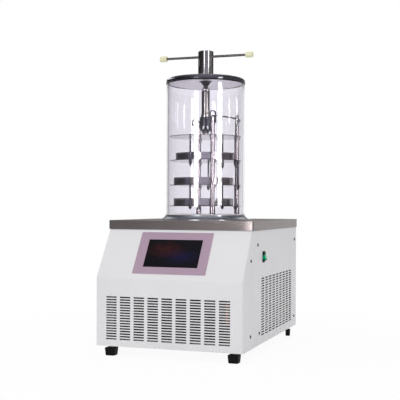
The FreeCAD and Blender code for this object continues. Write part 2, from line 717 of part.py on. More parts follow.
def fan_motor():
    """Shaded-pole motor with its shaft in the fan's hub, on a strap across the shroud."""
    x0 = FAN_X
    end = SHROUD_HALF - 2
    body = bar(FAN_MOTOR_R, (x0 - 44, FAN_Y, FAN_Z), (x0 - 8, FAN_Y, FAN_Z))
    shaft = bar(FAN_SHAFT_R, (x0 - 9, FAN_Y, FAN_Z), (x0 + 9.5, FAN_Y, FAN_Z))
    strap = box(x0 - 12, x0 - 8, FAN_Y - end, FAN_Y + end, FAN_Z - 8, FAN_Z + 8)
    ends = [
        box(x0 - 12, CONDENSER_X0 - SHROUD_T, y, y + 8, FAN_Z - 8, FAN_Z + 8)
        for y in (FAN_Y - end, FAN_Y + end - 8)
    ]
    return joined([body, shaft, strap] + ends)


def filter_drier():
    """Copper capsule in the liquid line, standing on its pipe beside the condenser."""
    x, y = CONDENSER_X0 - 60, CONDENSER_Y0 - 20
    return joined([
        rod(3.2, PAN_TOP, PAN_TOP + 160, x, y),
        rod(11.0, PAN_TOP + 50, PAN_TOP + 120, x, y),
    ])


def suction_pipe():
    """Copper pipe from the foamed evaporator down to the compressor, with a brazed elbow."""
    x = COMPRESSOR_X - 20
    y = AXIS_Y + FOAM_HALF
    z = TRAP_BOTTOM + 20
    r = 5.0
    across = bar(r, (x, y, z), (x, COMPRESSOR_Y, z))
    down = rod(r, COMPRESSOR_LOW + COMPRESSOR_H, z, x, COMPRESSOR_Y)
    return joined([across, down, Part.makeSphere(r, V(x, COMPRESSOR_Y, z))])


def control_board():
    """Control circuit board with its larger parts, hung from the frame behind the screen."""
    y = SEAM_Y + BOARD_FROM_SEAM
    low, top = Z0 + BOARD_LOW_UP, Z0 + BOARD_TOP_UP
    board = box(-BOARD_HALF, BOARD_HALF, y, y + BOARD_T, low, top)
    face = y + BOARD_T - 0.2
    parts = [
        box(-70, -30, face, y + 24, low + 10, low + 50),
        box(-10, 10, face, y + 18, low + 15, low + 35),
        box(25, 65, face, y + 12, low + 60, low + 100),
    ]
    straps = [
        box(x - 5, x + 5, y - 1.5, y + 0.2, top - 10, TOP_Z - 0.5 - ANGLE_T)
        for x in (-70, 70)
    ]
    return joined([board] + parts + straps)


# ---- chamber and lid --------------------------------------------------------------------

def chamber_tube():
    tube = rod(CHAMBER_R, CHAMBER_Z0, CHAMBER_Z1)
    return tube.cut(rod(CHAMBER_R - CHAMBER_WALL, CHAMBER_Z0 - EPS, CHAMBER_Z1 + EPS))


def lid_gasket():
    ring = rod(CHAMBER_R, CHAMBER_Z1, LID_Z0)
    return ring.cut(rod(CHAMBER_R - CHAMBER_WALL - 2, CHAMBER_Z1 - EPS, LID_Z0 + EPS))


def lid():
    """Polished disc with a rounded upper edge and a bore for the press gland."""
    return turned([
        (LID_BORE, LID_Z0), (LID_R, LID_Z0), (LID_R, LID_Z1 - 3.5), (LID_R - 1.2, LID_Z1 - 1.2),
        (LID_R - 3.5, LID_Z1), (LID_BORE, LID_Z1),
    ])


def press_gland():
    """Flanged bush with its seal, through the lid's middle, and the boss above it."""
    bore = SCREW_R + GAP
    return turned([
        (bore, LID_Z0 - 11), (GLAND_TIP_R, LID_Z0 - 11), (GLAND_TIP_R, LID_Z0 - 8),
        (GLAND_R, LID_Z0 - 3.5), (GLAND_FLANGE_R, LID_Z0 - 2.5), (GLAND_FLANGE_R, LID_Z0),
        (LID_BORE, LID_Z0), (LID_BORE, LID_Z1), (BOSS_R, LID_Z1), (BOSS_R, LID_Z1 + BOSS_H),
        (bore, LID_Z1 + BOSS_H),
    ])


def press_column():
    """Polished sleeve that hides the screw and carries the cross handle."""
    inside = BOSS_R + 1.2
    body = turned([
        (inside, SLEEVE_LOW), (SLEEVE_R, SLEEVE_LOW), (SLEEVE_R, SLEEVE_TOP),
        (0, SLEEVE_TOP), (0, SLEEVE_CAP), (inside, SLEEVE_CAP),
    ])
    socket = rod(SCREW_R + 0.02, SLEEVE_CAP - EPS, SCREW_END)
    cross = bar(HANDLE_R + 0.02, (-40, AXIS_Y, HANDLE_Z), (40, AXIS_Y, HANDLE_Z))
    return body.cut(socket).cut(cross)


def press_screw():
    return rod(SCREW_R, RAM_TOP - 40, SCREW_END)


def handle_bar():
    reach = HANDLE_REACH - CAP_L + CAP_GRIP
    return bar(HANDLE_R, (-reach, AXIS_Y, HANDLE_Z), (reach, AXIS_Y, HANDLE_Z))


def handle_caps():
    """The two plastic grips pushed on the ends of the cross handle."""
    x0, x1 = HANDLE_REACH - CAP_L, HANDLE_REACH
    profile = [
        V(x0, 0, 0), V(x0, 0, CAP_R), V(x1 - CAP_EASE, 0, CAP_R), V(x1, 0, CAP_R - CAP_EASE), V(x1, 0, 0),
    ]
    face = Part.Face(Part.makePolygon(profile + profile[:1]))
    cap = face.revolve(V(0, 0, 0), V(1, 0, 0), 360)
    hole = Part.makeCylinder(HANDLE_R + 0.02, CAP_GRIP + 0.2 + EPS, V(x0 - EPS, 0, 0), V(1, 0, 0))
    cap = cap.cut(hole)
    cap.translate(V(0, AXIS_Y, HANDLE_Z))
    return group([cap, cap.mirror(V(0, 0, 0), V(1, 0, 0))])


def ram_tube():
    """Tube with a shoulder on top and a thick collar below; its bore takes the screw's end."""
    tube = joined([
        rod(RAM_R, RAM_LOW - EPS, RAM_TOP),
        rod(RAM_R - 3.0, RAM_TOP - EPS, RAM_TOP + 4),
        rod(RAM_COLLAR_R, HEAD_TOP, RAM_LOW),
    ])
    return tube.cut(rod(SCREW_R + GAP, RAM_TOP - 44, RAM_TOP + 4 + EPS))


def ram_head():
    """Press head: a thick disc that narrows to the tip that pushes the top plate."""
    return turned([
        (0, HEAD_TOP), (HEAD_R, HEAD_TOP), (HEAD_R, HEAD_SHOULDER), (HEAD_TIP_R, TIP_Z), (0, TIP_Z),
    ])


# ---- drying rack ------------------------------------------------------------------------

def rack_base():
    ring = rod(RACK_RING_R, RACK_Z0, RACK_Z0 + RACK_RING_T)
    return ring.cut(rod(RACK_RING_IN_R, RACK_Z0 - EPS, RACK_Z0 + RACK_RING_T + EPS))


def rack_post(index):
    """Post with a thick foot, a shoulder under the lowest shelf and a strip hook on its top."""
    x, y = on_axis(POST_CIRCLE, POST_ANGLES[index])
    low = RACK_Z0 + RACK_RING_T
    shoulder = Z0 + SHELF_Z["d"] - SHELF_T / 2
    stem = rod(POST_R, low, POST_TOP, x, y)
    foot = rod(POST_FOOT_R, low, shoulder, x, y)
    hook = strip_hook(index)
    hook.translate(V(x, y, 0))
    return joined([stem, foot, hook])


def strip_hook(index):
    """Flat strip bent over: up beside or out of the post, over in a half circle, and down."""
    start, half = HOOK_STARTS[index], HOOK_T / 2
    bend = HOOK_SPANS[index] / 2
    foot, tail = Z0 + HOOK_FEET_UP[index], Z0 + HOOK_TAILS_UP[index]
    crown = Z0 + HOOK_TOPS_UP[index] - half - bend
    middle = start + bend
    outer, inner = bend + half, bend - half
    edges = [
        Part.LineSegment(V(middle - outer, 0, foot), V(middle - outer, 0, crown)),
        Part.Arc(V(middle - outer, 0, crown), V(middle, 0, crown + outer), V(middle + outer, 0, crown)),
        Part.LineSegment(V(middle + outer, 0, crown), V(middle + outer, 0, tail)),
        Part.LineSegment(V(middle + outer, 0, tail), V(middle + inner, 0, tail)),
        Part.LineSegment(V(middle + inner, 0, tail), V(middle + inner, 0, crown)),
        Part.Arc(V(middle + inner, 0, crown), V(middle, 0, crown + inner), V(middle - inner, 0, crown)),
        Part.LineSegment(V(middle - inner, 0, crown), V(middle - inner, 0, foot)),
        Part.LineSegment(V(middle - inner, 0, foot), V(middle - outer, 0, foot)),
    ]
    hook = Part.Face(Part.Wire([e.toShape() for e in edges])).extrude(V(0, HOOK_WIDE, 0))
    hook.translate(V(0, -HOOK_WIDE / 2, 0))
    hook.rotate(V(0, 0, 0), V(0, 0, 1), HOOK_ANGLES[index] - 90)
    return hook


def rack_brace():
    """Flat bar bent to a quarter ring that lies on the front and the right post and ties them."""
    z0, z1 = POST_TOP, POST_TOP + BRACE_T
    ring = rod(BRACE_R, z0, z1).cut(rod(BRACE_IN_R, z0 - EPS, z1 + EPS))
    a0, a1 = POST_ANGLES[0] - 2, POST_ANGLES[1] + 2
    reach = 300.0
    span = [V(0, AXIS_Y, z0 - EPS)]
    steps = 4
    for i in range(steps + 1):
        x, y = on_axis(reach, a0 + (a1 - a0) * i / steps)
        span.append(V(x, y, z0 - EPS))
    wedge = Part.Face(Part.makePolygon(span + span[:1])).extrude(V(0, 0, BRACE_T + 2 * EPS))
    return ring.common(wedge)


def shelf(name):
    """Round shelf plate with a guide sleeve at each post and holes for the rods from above."""
    z = Z0 + SHELF_Z[name]
    low, high = z - SHELF_T / 2, z + SHELF_T / 2
    plate = rod(SHELF_R, low, high)
    pieces = [plate]
    if name != "d":
        for angle in POST_ANGLES:
            x, y = on_axis(POST_CIRCLE, angle)
            pieces.append(rod(POST_R + 2.8, low - 7, low + 0.5, x, y))
    if name == "a":
        pieces.append(rod(9.0, high - 0.5, TIP_Z - 0.2))
    body = joined(pieces)
    cuts = []
    for angle in POST_ANGLES:
        x, y = on_axis(POST_CIRCLE, angle)
        cuts.append(rod(POST_R + 0.35, low - 10, high + 5, x, y))
    hangers = {"b": ROD_ANGLES_OUTER, "c": ROD_ANGLES_INNER, "d": ROD_ANGLES_OUTER}.get(name, ())
    for angle in hangers:
        x, y = on_axis(POST_CIRCLE, angle)
        cuts.append(rod(ROD_R + 0.4, low - 5, high + 5, x, y))
    return body.cut(Part.makeCompound(cuts))


def hanger_rods(upper, lower, angles, tail):
    """Rods that hang one shelf from the next: fixed above, sliding below, pointed nut at the end."""
    top = Z0 + SHELF_Z[upper] - SHELF_T / 2
    under = Z0 + SHELF_Z[lower] - SHELF_T / 2
    rods = []
    for angle in angles:
        x, y = on_axis(POST_CIRCLE, angle)
        nut = Part.makeCone(1.5, 5.4, tail * 0.55, V(x, y, under - tail))
        neck = rod(5.4, under - tail * 0.45, under - GAP, x, y)
        rods.append(joined([rod(ROD_R, under - tail * 0.5, top, x, y), nut, neck]))
    return group(rods)


def tray(name):
    """Round drying tray with an upright wall."""
    z = Z0 + SHELF_Z[name] + SHELF_T / 2
    x, y = (0.0, AXIS_Y) if name == "b" else on_axis(TRAY_SHIFT, TRAY_SHIFT_ANGLE)
    outer = rod(TRAY_R, z, z + TRAY_H, x, y)
    return outer.cut(rod(TRAY_R - TRAY_WALL, z + TRAY_WALL, z + TRAY_H + EPS, x, y))


# ---- output -----------------------------------------------------------------------------

def main():
    nodes = {
        "front_cover": front_cover(),
        "side_panel_right": side_panel(1),
        "side_panel_left": side_panel(-1),
        "rear_panel": rear_panel(),
        "base_pan": base_pan(),
        "inner_frame": inner_frame(),
        "worktop": worktop(),
        "feet": feet(),
        "label_plate": label_plate(),
        "screen_glass": screen_glass(),
        "screen_housing": screen_housing(),
        "switch_bezel": switch_bezel(),
        "switch_rocker": switch_rocker(),
        "vacuum_port": vacuum_port(),
        "power_inlet": power_inlet(),
        "pump_outlet": pump_outlet(),
        "drain_valve": drain_valve(),
        "drain_lever": drain_lever(),
        "trap_well": trap_well(),
        "trap_insulation": trap_insulation(),
        "base_flange": base_flange(),
        "base_gasket": base_gasket(),
        "compressor": compressor(),
        "compressor_mounts": compressor_mounts(),
        "condenser": condenser(),
        "fan_shroud": fan_shroud(),
        "fan_blade": fan_blade(),
        "fan_motor": fan_motor(),
        "filter_drier": filter_drier(),
        "suction_pipe": suction_pipe(),
        "control_board": control_board(),
        "chamber_tube": chamber_tube(),
        "lid_gasket": lid_gasket(),
        "lid": lid(),
        "press_gland": press_gland(),
        "press_column": press_column(),
        "press_screw": press_screw(),
        "handle_bar": handle_bar(),
        "handle_caps": handle_caps(),
        "ram_tube": ram_tube(),
        "ram_head": ram_head(),
        "rack_base": rack_base(),
        "rack_brace": rack_brace(),
        "hanger_rods_a": hanger_rods("a", "b", ROD_ANGLES_OUTER, 20.0),
        "hanger_rods_b": hanger_rods("b", "c", ROD_ANGLES_INNER, 13.0),
        "hanger_rods_c": hanger_rods("c", "d", ROD_ANGLES_OUTER, 10.0),
    }
    for i, where in enumerate(("front", "right", "rear")):
        nodes["rack_post_" + where] = rack_post(i)
    nodes["press_plate"] = shelf("a")
    for place, name in (("upper", "b"), ("middle", "c"), ("lower", "d")):
        nodes["shelf_" + place] = shelf(name)
        nodes["tray_" + place] = tray(name)

    os.makedirs("parts", exist_ok=True)
    for old in os.listdir("parts"):
        if old.endswith(".step"):
            os.remove(os.path.join("parts", old))
    for name, shape in nodes.items():
        if not shape.isValid():
            print("not valid:", name)
        shape.exportStep(os.path.join("parts", name + ".step"))
        print(name, len(shape.Solids), round(shape.Volume / 1000.0, 1), "cm3")
    print(len(nodes), "nodes")


main()
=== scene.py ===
# %% [markdown]
# A bench-top freeze dryer: a white sheet-metal cabinet, a stainless worktop, and on it a clear
# chamber with three trays under a screw press. The engineering model comes in first, as a fixed
# frame in metres. Everything made below is placed against it and rides on one of its bodies.
# %% Load the frame
import math

import bmesh
import bpy
from mathutils import Matrix, Vector


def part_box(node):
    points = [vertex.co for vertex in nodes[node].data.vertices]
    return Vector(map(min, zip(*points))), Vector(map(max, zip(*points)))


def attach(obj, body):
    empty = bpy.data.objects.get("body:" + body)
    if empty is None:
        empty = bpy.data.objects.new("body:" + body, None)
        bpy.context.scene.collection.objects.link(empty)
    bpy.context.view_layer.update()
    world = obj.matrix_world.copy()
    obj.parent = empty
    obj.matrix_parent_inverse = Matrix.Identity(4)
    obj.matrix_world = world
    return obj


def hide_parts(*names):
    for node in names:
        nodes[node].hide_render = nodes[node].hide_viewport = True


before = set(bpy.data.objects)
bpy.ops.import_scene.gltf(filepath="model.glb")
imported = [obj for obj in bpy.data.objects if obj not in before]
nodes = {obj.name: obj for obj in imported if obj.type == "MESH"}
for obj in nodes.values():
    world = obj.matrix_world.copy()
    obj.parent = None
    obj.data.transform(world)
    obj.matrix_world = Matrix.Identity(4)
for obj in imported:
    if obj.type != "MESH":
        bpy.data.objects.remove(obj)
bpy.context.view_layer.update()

# %% [markdown]
# The drawings are in millimetres, so the pieces below are drawn in millimetres too and made small
# at the end. The chamber's axis stands at x = 0, y = -8, and most turned pieces share it.
# %% Units and the chamber's axis
MM = 0.001
AXIS_Y = -8.0


def on_circle(radius, degrees):
    """Point round the chamber's axis; the angle starts at the front and grows to the right."""
    a = math.radians(degrees)
    return radius * math.sin(a), AXIS_Y - radius * math.cos(a)


# %% [markdown]
# The camera stands to the right of the machine, a little above its worktop, and looks level. A
# level camera keeps uprights upright, and the lens shift does the small framing that a tilt
# would otherwise do.
# %% Camera
camera_data = bpy.data.cameras.new("camera")
camera_data.lens = 77.51
camera_data.sensor_width = 36.0
camera_data.shift_x = -0.01165
camera_data.shift_y = 0.0157
camera = bpy.data.objects.new("camera", camera_data)
bpy.context.scene.collection.objects.link(camera)
camera.matrix_world = (
    Matrix.Translation((0.9347, -2.7163, 0.4539))
    @ Matrix.Rotation(0.333, 4, "Z")
    @ Matrix.Rotation(math.radians(90), 4, "X")
    @ Matrix.Rotation(0.004, 4, "Z")
)
bpy.context.scene.camera = camera
bpy.context.scene.view_settings.view_transform = "Standard"
print("camera at", [round(v, 3) for v in camera.location])

# %% [markdown]
# Steel and clear plastic look like whatever stands round them. A plain white room would make them
# vanish, so the studio has a white sweep behind, dimmer walls at the sides and front, and tall soft
# boxes whose reflections draw the bright upright bands. One lamp could light the scene, but several
# boxes give each band its own place: two large ones for the broad bands, a short one above each of
# them for the press column, two far ones for the thin lines, and a small one for the corner of the
# worktop. A box is an area lamp that only shiny surfaces see.
# %% Soft boxes


def soft_box(name, degrees, distance, width, low, high, brightness, aim=None, spread=180):
    """Area lamp that faces the chamber, from a height low to high, in metres.

    With a height to aim at, it leans that way, and a smaller spread works like a grid before it.
    """
    data = bpy.data.lights.new(name, "AREA")
    data.shape = "RECTANGLE"
    data.size = width
    data.size_y = high - low
    data.energy = brightness * math.pi * width * (high - low)
    data.spread = math.radians(spread)
    lamp = bpy.data.objects.new(name, data)
    bpy.context.scene.collection.objects.link(lamp)
    turn = math.radians(degrees)
    middle = (low + high) / 2
    lean = 0 if aim is None else math.atan((middle - aim) / distance)
    lamp.location = (distance * math.sin(turn), AXIS_Y * MM - distance * math.cos(turn), middle)
    lamp.rotation_euler = (math.radians(90) - lean, 0, turn)
    lamp.visible_camera = False
    lamp.visible_diffuse = False


# Name: degrees round the chamber, distance, width, lower and upper edge, brightness.
BOXES = {
    "box_left": (-7.2, 2.0, 0.42, 0.45, 1.07, 15.0),
    "box_left_top": (-3.5, 2.0, 0.30, 1.23, 1.45, 4.0),
    "box_right": (60.3, 2.0, 0.44, 0.46, 1.12, 15.0),
    "box_right_top": (61.0, 2.0, 0.34, 1.23, 1.45, 4.0),
    "box_far_a": (92.0, 3.0, 0.16, 1.00, 1.17, 14.0),
    "box_far_b": (122.0, 3.0, 0.14, 1.00, 1.17, 10.0),
    "box_corner": (-7.4, 2.0, 0.05, 0.325, 0.385, 4.5),
}
for name, settings in BOXES.items():
    soft_box(name, *settings)
print(len(BOXES), "soft boxes")

# %% [markdown]
# The lid's rim is lit from the left by four small lamps in a row. They could shine freely, but then
# the steel flare further down would catch them too. So they lean towards the lid, and a narrow
# spread keeps their light there.
# %% Rim lamps
RIM_LAMPS = 4
RIM_FIRST = -94.0       # degrees round the chamber
RIM_STEP = 13.0
LID_HEIGHT = 0.87
for i in range(RIM_LAMPS):
    soft_box(
        "box_rim_%d" % i, RIM_FIRST - RIM_STEP * i, 1.05, 0.24, 1.17, 1.42, 0.06,
        aim=LID_HEIGHT, spread=26,
    )
print(RIM_LAMPS, "rim lamps")

# %% [markdown]
# The world does three jobs. The camera sees plain white. Shiny surfaces see the sweep and the
# dimmer walls, told apart by compass direction. Dull surfaces get an even, pale light from
# everywhere, a little stronger from above. A picture of a room could stand in for the walls, but
# colour ramps over the direction need no file and can be set to the degree. First come two helpers:
# one adds a node and fills its sockets, the other turns a value into a band of greys.
# %% Node helpers


def add(tree, kind, inputs=(), **settings):
    """New node; settings are its properties, and inputs fills its sockets by name or number."""
    node = tree.nodes.new(kind)
    for key, value in settings.items():
        setattr(node, key, value)
    for key, value in dict(inputs).items():
        if isinstance(value, bpy.types.NodeSocket):
            tree.links.new(value, node.inputs[key])
        else:
            node.inputs[key].default_value = value
    return node


def ramp(tree, source, stops):
    """Colour ramp from (place, grey or colour) stops."""
    node = add(tree, "ShaderNodeValToRGB", {"Fac": source})
    band = node.color_ramp
    while len(band.elements) < len(stops):
        band.elements.new(0.5)
    for element, (place, value) in zip(band.elements, stops):
        element.position = place
        element.color = (*value, 1) if isinstance(value, tuple) else (value, value, value, 1)
    return node.outputs["Color"]


# %% [markdown]
# The walls are ramps over the compass: the turn is 0 and 1 at the back, 0.25 on the left, 0.5 in
# front and 0.75 on the right. Upright steel mirrors rays that run level, and the low and the high
# part of a wall differ, because the worktop's edge and the press column have to look different.
# Steeper rays see the slope of a room, and straight up there is a plain grey ceiling.
# %% Walls of the studio
world = bpy.data.worlds.new("studio")
bpy.context.scene.world = world
world.use_nodes = True
tree = world.node_tree
tree.nodes.clear()
way = add(tree, "ShaderNodeTexCoord").outputs["Generated"]
parts = add(tree, "ShaderNodeSeparateXYZ", {0: way}).outputs
back = add(tree, "ShaderNodeMath", {0: parts["Y"], 1: -1.0}, operation="MULTIPLY").outputs[0]
compass = add(tree, "ShaderNodeMath", {0: parts["X"], 1: back}, operation="ARCTAN2").outputs[0]
turn = add(
    tree, "ShaderNodeMapRange",
    {"Value": compass, "From Min": -math.pi, "From Max": math.pi},
).outputs["Result"]
low_walls = ramp(tree, turn, [
    (0.00, 1.0), (0.12, 1.0), (0.15, 0.07), (0.35, 0.06),
    (0.37, (0.20, 0.20, 0.25)), (0.395, (0.20, 0.20, 0.25)), (0.41, 0.05), (0.43, 0.33),
    (0.456, 0.50), (0.480, (0.38, 0.38, 0.44)), (0.52, (0.54, 0.55, 0.63)),
    (0.61, (0.54, 0.54, 0.60)), (0.66, 0.15), (0.88, 0.12), (0.93, 0.60), (0.965, 0.60),
    (0.980, 1.0), (1.00, 1.0),
])
high_walls = ramp(tree, turn, [
    (0.00, 0.03), (0.03, 0.25), (0.07, 0.25), (0.10, 0.02), (0.42, 0.03), (0.50, (0.23, 0.22, 0.25)),
    (0.68, (0.26, 0.25, 0.28)), (0.73, 0.16), (0.87, 0.14), (0.92, 0.02), (1.00, 0.03),
])
print("walls of", len(tree.nodes), "nodes")

# %% [markdown]
# The ramps are blended by how steeply a ray climbs: low walls, high walls, the slope above them
# and the ceiling. Each blend is another ramp over the upright part of the direction.
# %% From wall to ceiling
GREY = (0.13, 0.13, 0.15)
MID_GREY = (0.38, 0.38, 0.41)
CEILING = (0.50, 0.50, 0.52, 1)
above = ramp(tree, turn, [
    (0.00, 0.70), (0.11, 0.70), (0.15, GREY), (0.36, GREY), (0.50, MID_GREY), (0.60, MID_GREY),
    (0.72, GREY), (0.95, GREY), (0.99, 0.70), (1.00, 0.70),
])
rise = add(
    tree, "ShaderNodeMapRange", {"Value": parts["Z"], "From Min": 0.130, "From Max": 0.148},
).outputs["Result"]
slope = ramp(tree, parts["Z"], [(0.20, 0.0), (0.45, 1.0)])
zenith = ramp(tree, parts["Z"], [(0.80, 0.0), (0.96, 1.0)])
room = low_walls
for share, other in ((rise, high_walls), (slope, above), (zenith, CEILING)):
    room = add(
        tree, "ShaderNodeMix", {"Factor": share, "A": room, "B": other}, data_type="RGBA",
    ).outputs["Result"]
print("room of", len(tree.nodes), "nodes")

# %% [markdown]
# Light Path also counts bounces, which matters here: a ray that leaves a steel rod and passes out
# through the clear chamber still has to see the walls, and not the plain white.
# %% Which light goes where
path = add(tree, "ShaderNodeLightPath").outputs
pale = add(
    tree, "ShaderNodeMath", {0: path["Is Camera Ray"], 1: path["Is Transmission Ray"]},
    operation="MAXIMUM",
).outputs[0]
upward = add(
    tree, "ShaderNodeVectorMath", {0: way, 1: (-0.30, -0.33, 0.89)}, operation="DOT_PRODUCT",
).outputs["Value"]
soft = ramp(tree, upward, [(0.0, 0.40), (1.0, 0.92)])
white_sky = add(tree, "ShaderNodeBackground", {"Color": (1, 1, 1, 1), "Strength": 1.0})
soft_sky = add(tree, "ShaderNodeBackground", {"Color": soft, "Strength": 1.3})
room_sky = add(tree, "ShaderNodeBackground", {"Color": room, "Strength": 1.0})
bounced, dulled = (
    add(tree, "ShaderNodeMath", {0: path[kind + " Depth"], 1: 0.5}, operation="GREATER_THAN").outputs[0]
    for kind in ("Glossy", "Diffuse")
)
sky = soft_sky.outputs[0]
for share, other in ((pale, white_sky), (bounced, room_sky), (dulled, soft_sky)):
    sky = add(tree, "ShaderNodeMixShader", {0: share, 1: sky, 2: other.outputs[0]}).outputs[0]
add(tree, "ShaderNodeOutputWorld", {0: sky})
print("world has", len(tree.nodes), "nodes")

# %% [markdown]
# The floor is a plain pale sheet. Its material adds just enough glow, for the rays that see it
# directly or in a reflection, to join the white background, and keeps the rest of its light
# real, so that the feet still have their soft shadow. A floor lit by lamps alone would end in a
# grey edge against the white.
# %% Floor
sheet = bmesh.new()
bmesh.ops.create_circle(sheet, cap_ends=True, radius=6.0, segments=64)
floor_mesh = bpy.data.meshes.new("floor")
sheet.to_mesh(floor_mesh)
floor = bpy.data.objects.new("floor", floor_mesh)
bpy.context.scene.collection.objects.link(floor)

floor_paint = bpy.data.materials.new("floor_paint")
floor_paint.use_nodes = True
tree = floor_paint.node_tree
tree.nodes.clear()
place = add(tree, "ShaderNodeTexCoord").outputs["Object"]
grain = add(tree, "ShaderNodeTexNoise", {"Vector": place, "Scale": 3.0, "Detail": 2.0})
tint = ramp(tree, grain.outputs["Fac"], [(0.3, (0.86, 0.86, 0.87)), (0.7, (0.89, 0.89, 0.89))])
dull = add(tree, "ShaderNodeBsdfDiffuse", {"Color": tint})
glow = add(tree, "ShaderNodeEmission", {"Color": (1, 1, 1, 1), "Strength": 1.0})
far = add(tree, "ShaderNodeVectorMath", {0: place}, operation="LENGTH").outputs["Value"]
reach = add(tree, "ShaderNodeMapRange", {"Value": far, "From Max": 2.0}).outputs["Result"]
fade = ramp(tree, reach, [(0.32, 0.94), (0.60, 1.0)])
path = add(tree, "ShaderNodeLightPath").outputs
direct = path["Is Camera Ray"]
for kind in ("Is Glossy Ray", "Is Transmission Ray"):
    direct = add(tree, "ShaderNodeMath", {0: direct, 1: path[kind]}, operation="MAXIMUM").outputs[0]
share = add(tree, "ShaderNodeMath", {0: direct, 1: fade}, operation="MULTIPLY").outputs[0]
mixed = add(tree, "ShaderNodeMixShader", {0: share, 1: dull.outputs[0], 2: glow.outputs[0]})
add(tree, "ShaderNodeOutputMaterial", {0: mixed.outputs[0]})
floor_mesh.materials.append(floor_paint)
print("floor of", len(floor_mesh.polygons), "face and", len(tree.nodes), "nodes")

# %% [markdown]
# Two effects come back in many finishes, so each is a node group built once, with the same five
# inputs and three outputs: a colour, a roughness and a height. The first is a fine grain: the faint
# orange peel of powder coat, moulded rubber or foam, all the same noise at another size.
# %% Grain group


def group(name, size_name, size_kind, size):
    """Empty node group for a surface effect; its last input is the size of the pattern."""
    tree = bpy.data.node_groups.new(name, "ShaderNodeTree")
    for label, kind, value in (
        ("Colour", "Color", (0.7, 0.7, 0.7, 1)), ("Other colour", "Color", (0.6, 0.6, 0.6, 1)),
        ("Roughness", "Float", 0.3), ("Spread", "Float", 0.1), (size_name, size_kind, size),
    ):
        socket = tree.interface.new_socket(label, in_out="INPUT", socket_type="NodeSocket" + kind)
        socket.default_value = value
    for label, kind in (("Colour", "Color"), ("Roughness", "Float"), ("Height", "Float")):
        tree.interface.new_socket(label, in_out="OUTPUT", socket_type="NodeSocket" + kind)
    return tree, tree.nodes.new("NodeGroupInput").outputs, tree.nodes.new("NodeGroupOutput").inputs


def blend(tree, given, result, share, offset, height):
    """Blend the two colours by the share, and move the roughness by the offset."""
    blended = add(tree, "ShaderNodeMix", {
        "Factor": share, "A": given["Colour"], "B": given["Other colour"],
    }, data_type="RGBA")
    rough = add(tree, "ShaderNodeMath", {
        0: offset, 1: given["Spread"], 2: given["Roughness"],
    }, operation="MULTIPLY_ADD", use_clamp=True)
    tree.links.new(blended.outputs["Result"], result["Colour"])
    tree.links.new(rough.outputs[0], result["Roughness"])
    tree.links.new(height, result["Height"])
    print(tree.name, "group of", len(tree.nodes), "nodes")


grained, given, result = group("grain", "Scale", "Float", 400.0)
place = add(grained, "ShaderNodeTexCoord").outputs["Object"]
fine = add(grained, "ShaderNodeTexNoise", {"Vector": place, "Scale": given["Scale"], "Detail": 2.0})
broad = add(grained, "ShaderNodeTexNoise", {"Vector": place, "Scale": 5.0, "Detail": 4.0})
patch = add(grained, "ShaderNodeMapRange", {
    "Value": broad.outputs["Fac"], "From Min": 0.35, "From Max": 0.65,
})
offset = add(grained, "ShaderNodeMath", {0: broad.outputs["Fac"], 1: -0.5}, operation="ADD")
blend(grained, given, result, patch.outputs["Result"], offset.outputs[0], fine.outputs["Fac"])

# %% [markdown]
# The second is brushing: metal that was rolled, turned or brushed has fine lines along one
# direction. Noise stretched by a Mapping node gives them, and slow smears over it keep the
# polish from looking perfect.
# %% Brushing group
brushed, given, result = group("brushing", "Stretch", "Vector", (1, 1, 60))
place = add(brushed, "ShaderNodeTexCoord").outputs["Object"]
drawn = add(brushed, "ShaderNodeMapping", {"Vector": place, "Scale": given["Stretch"]})
lines = add(brushed, "ShaderNodeTexNoise", {"Vector": drawn.outputs[0], "Scale": 12.0, "Detail": 5.0})
smears = add(brushed, "ShaderNodeTexNoise", {"Vector": place, "Scale": 9.0, "Detail": 3.0})
both = add(
    brushed, "ShaderNodeMath", {0: lines.outputs["Fac"], 1: smears.outputs["Fac"]}, operation="ADD",
).outputs[0]
even = add(brushed, "ShaderNodeMapRange", {"Value": both, "From Min": 0.75, "From Max": 1.25})
offset = add(brushed, "ShaderNodeMath", {0: both, 1: -1.0}, operation="ADD")
blend(brushed, given, result, even.outputs["Result"], offset.outputs[0], lines.outputs["Fac"])

# %% [markdown]
# Two special effects are used once each. The worktop's edge is polished while its top face is dull,
# so the roughness changes above a height. The seal under the lid is black, and a painted reflection
# of the room's pale glow lightens the middle of its inner side, across the camera's view. It could
# be two pieces, but a mask is simpler.
# %% Masks


def dull_above(tree, polish, height, roughness):
    """Roughness that turns to another value above a height in metres."""
    place = add(tree, "ShaderNodeTexCoord").outputs["Object"]
    upright = add(tree, "ShaderNodeSeparateXYZ", {0: place}).outputs["Z"]
    upper = add(tree, "ShaderNodeMath", {0: upright, 1: height}, operation="GREATER_THAN")
    return add(tree, "ShaderNodeMix", {0: upper.outputs[0], 2: polish, 3: roughness}).outputs[0]


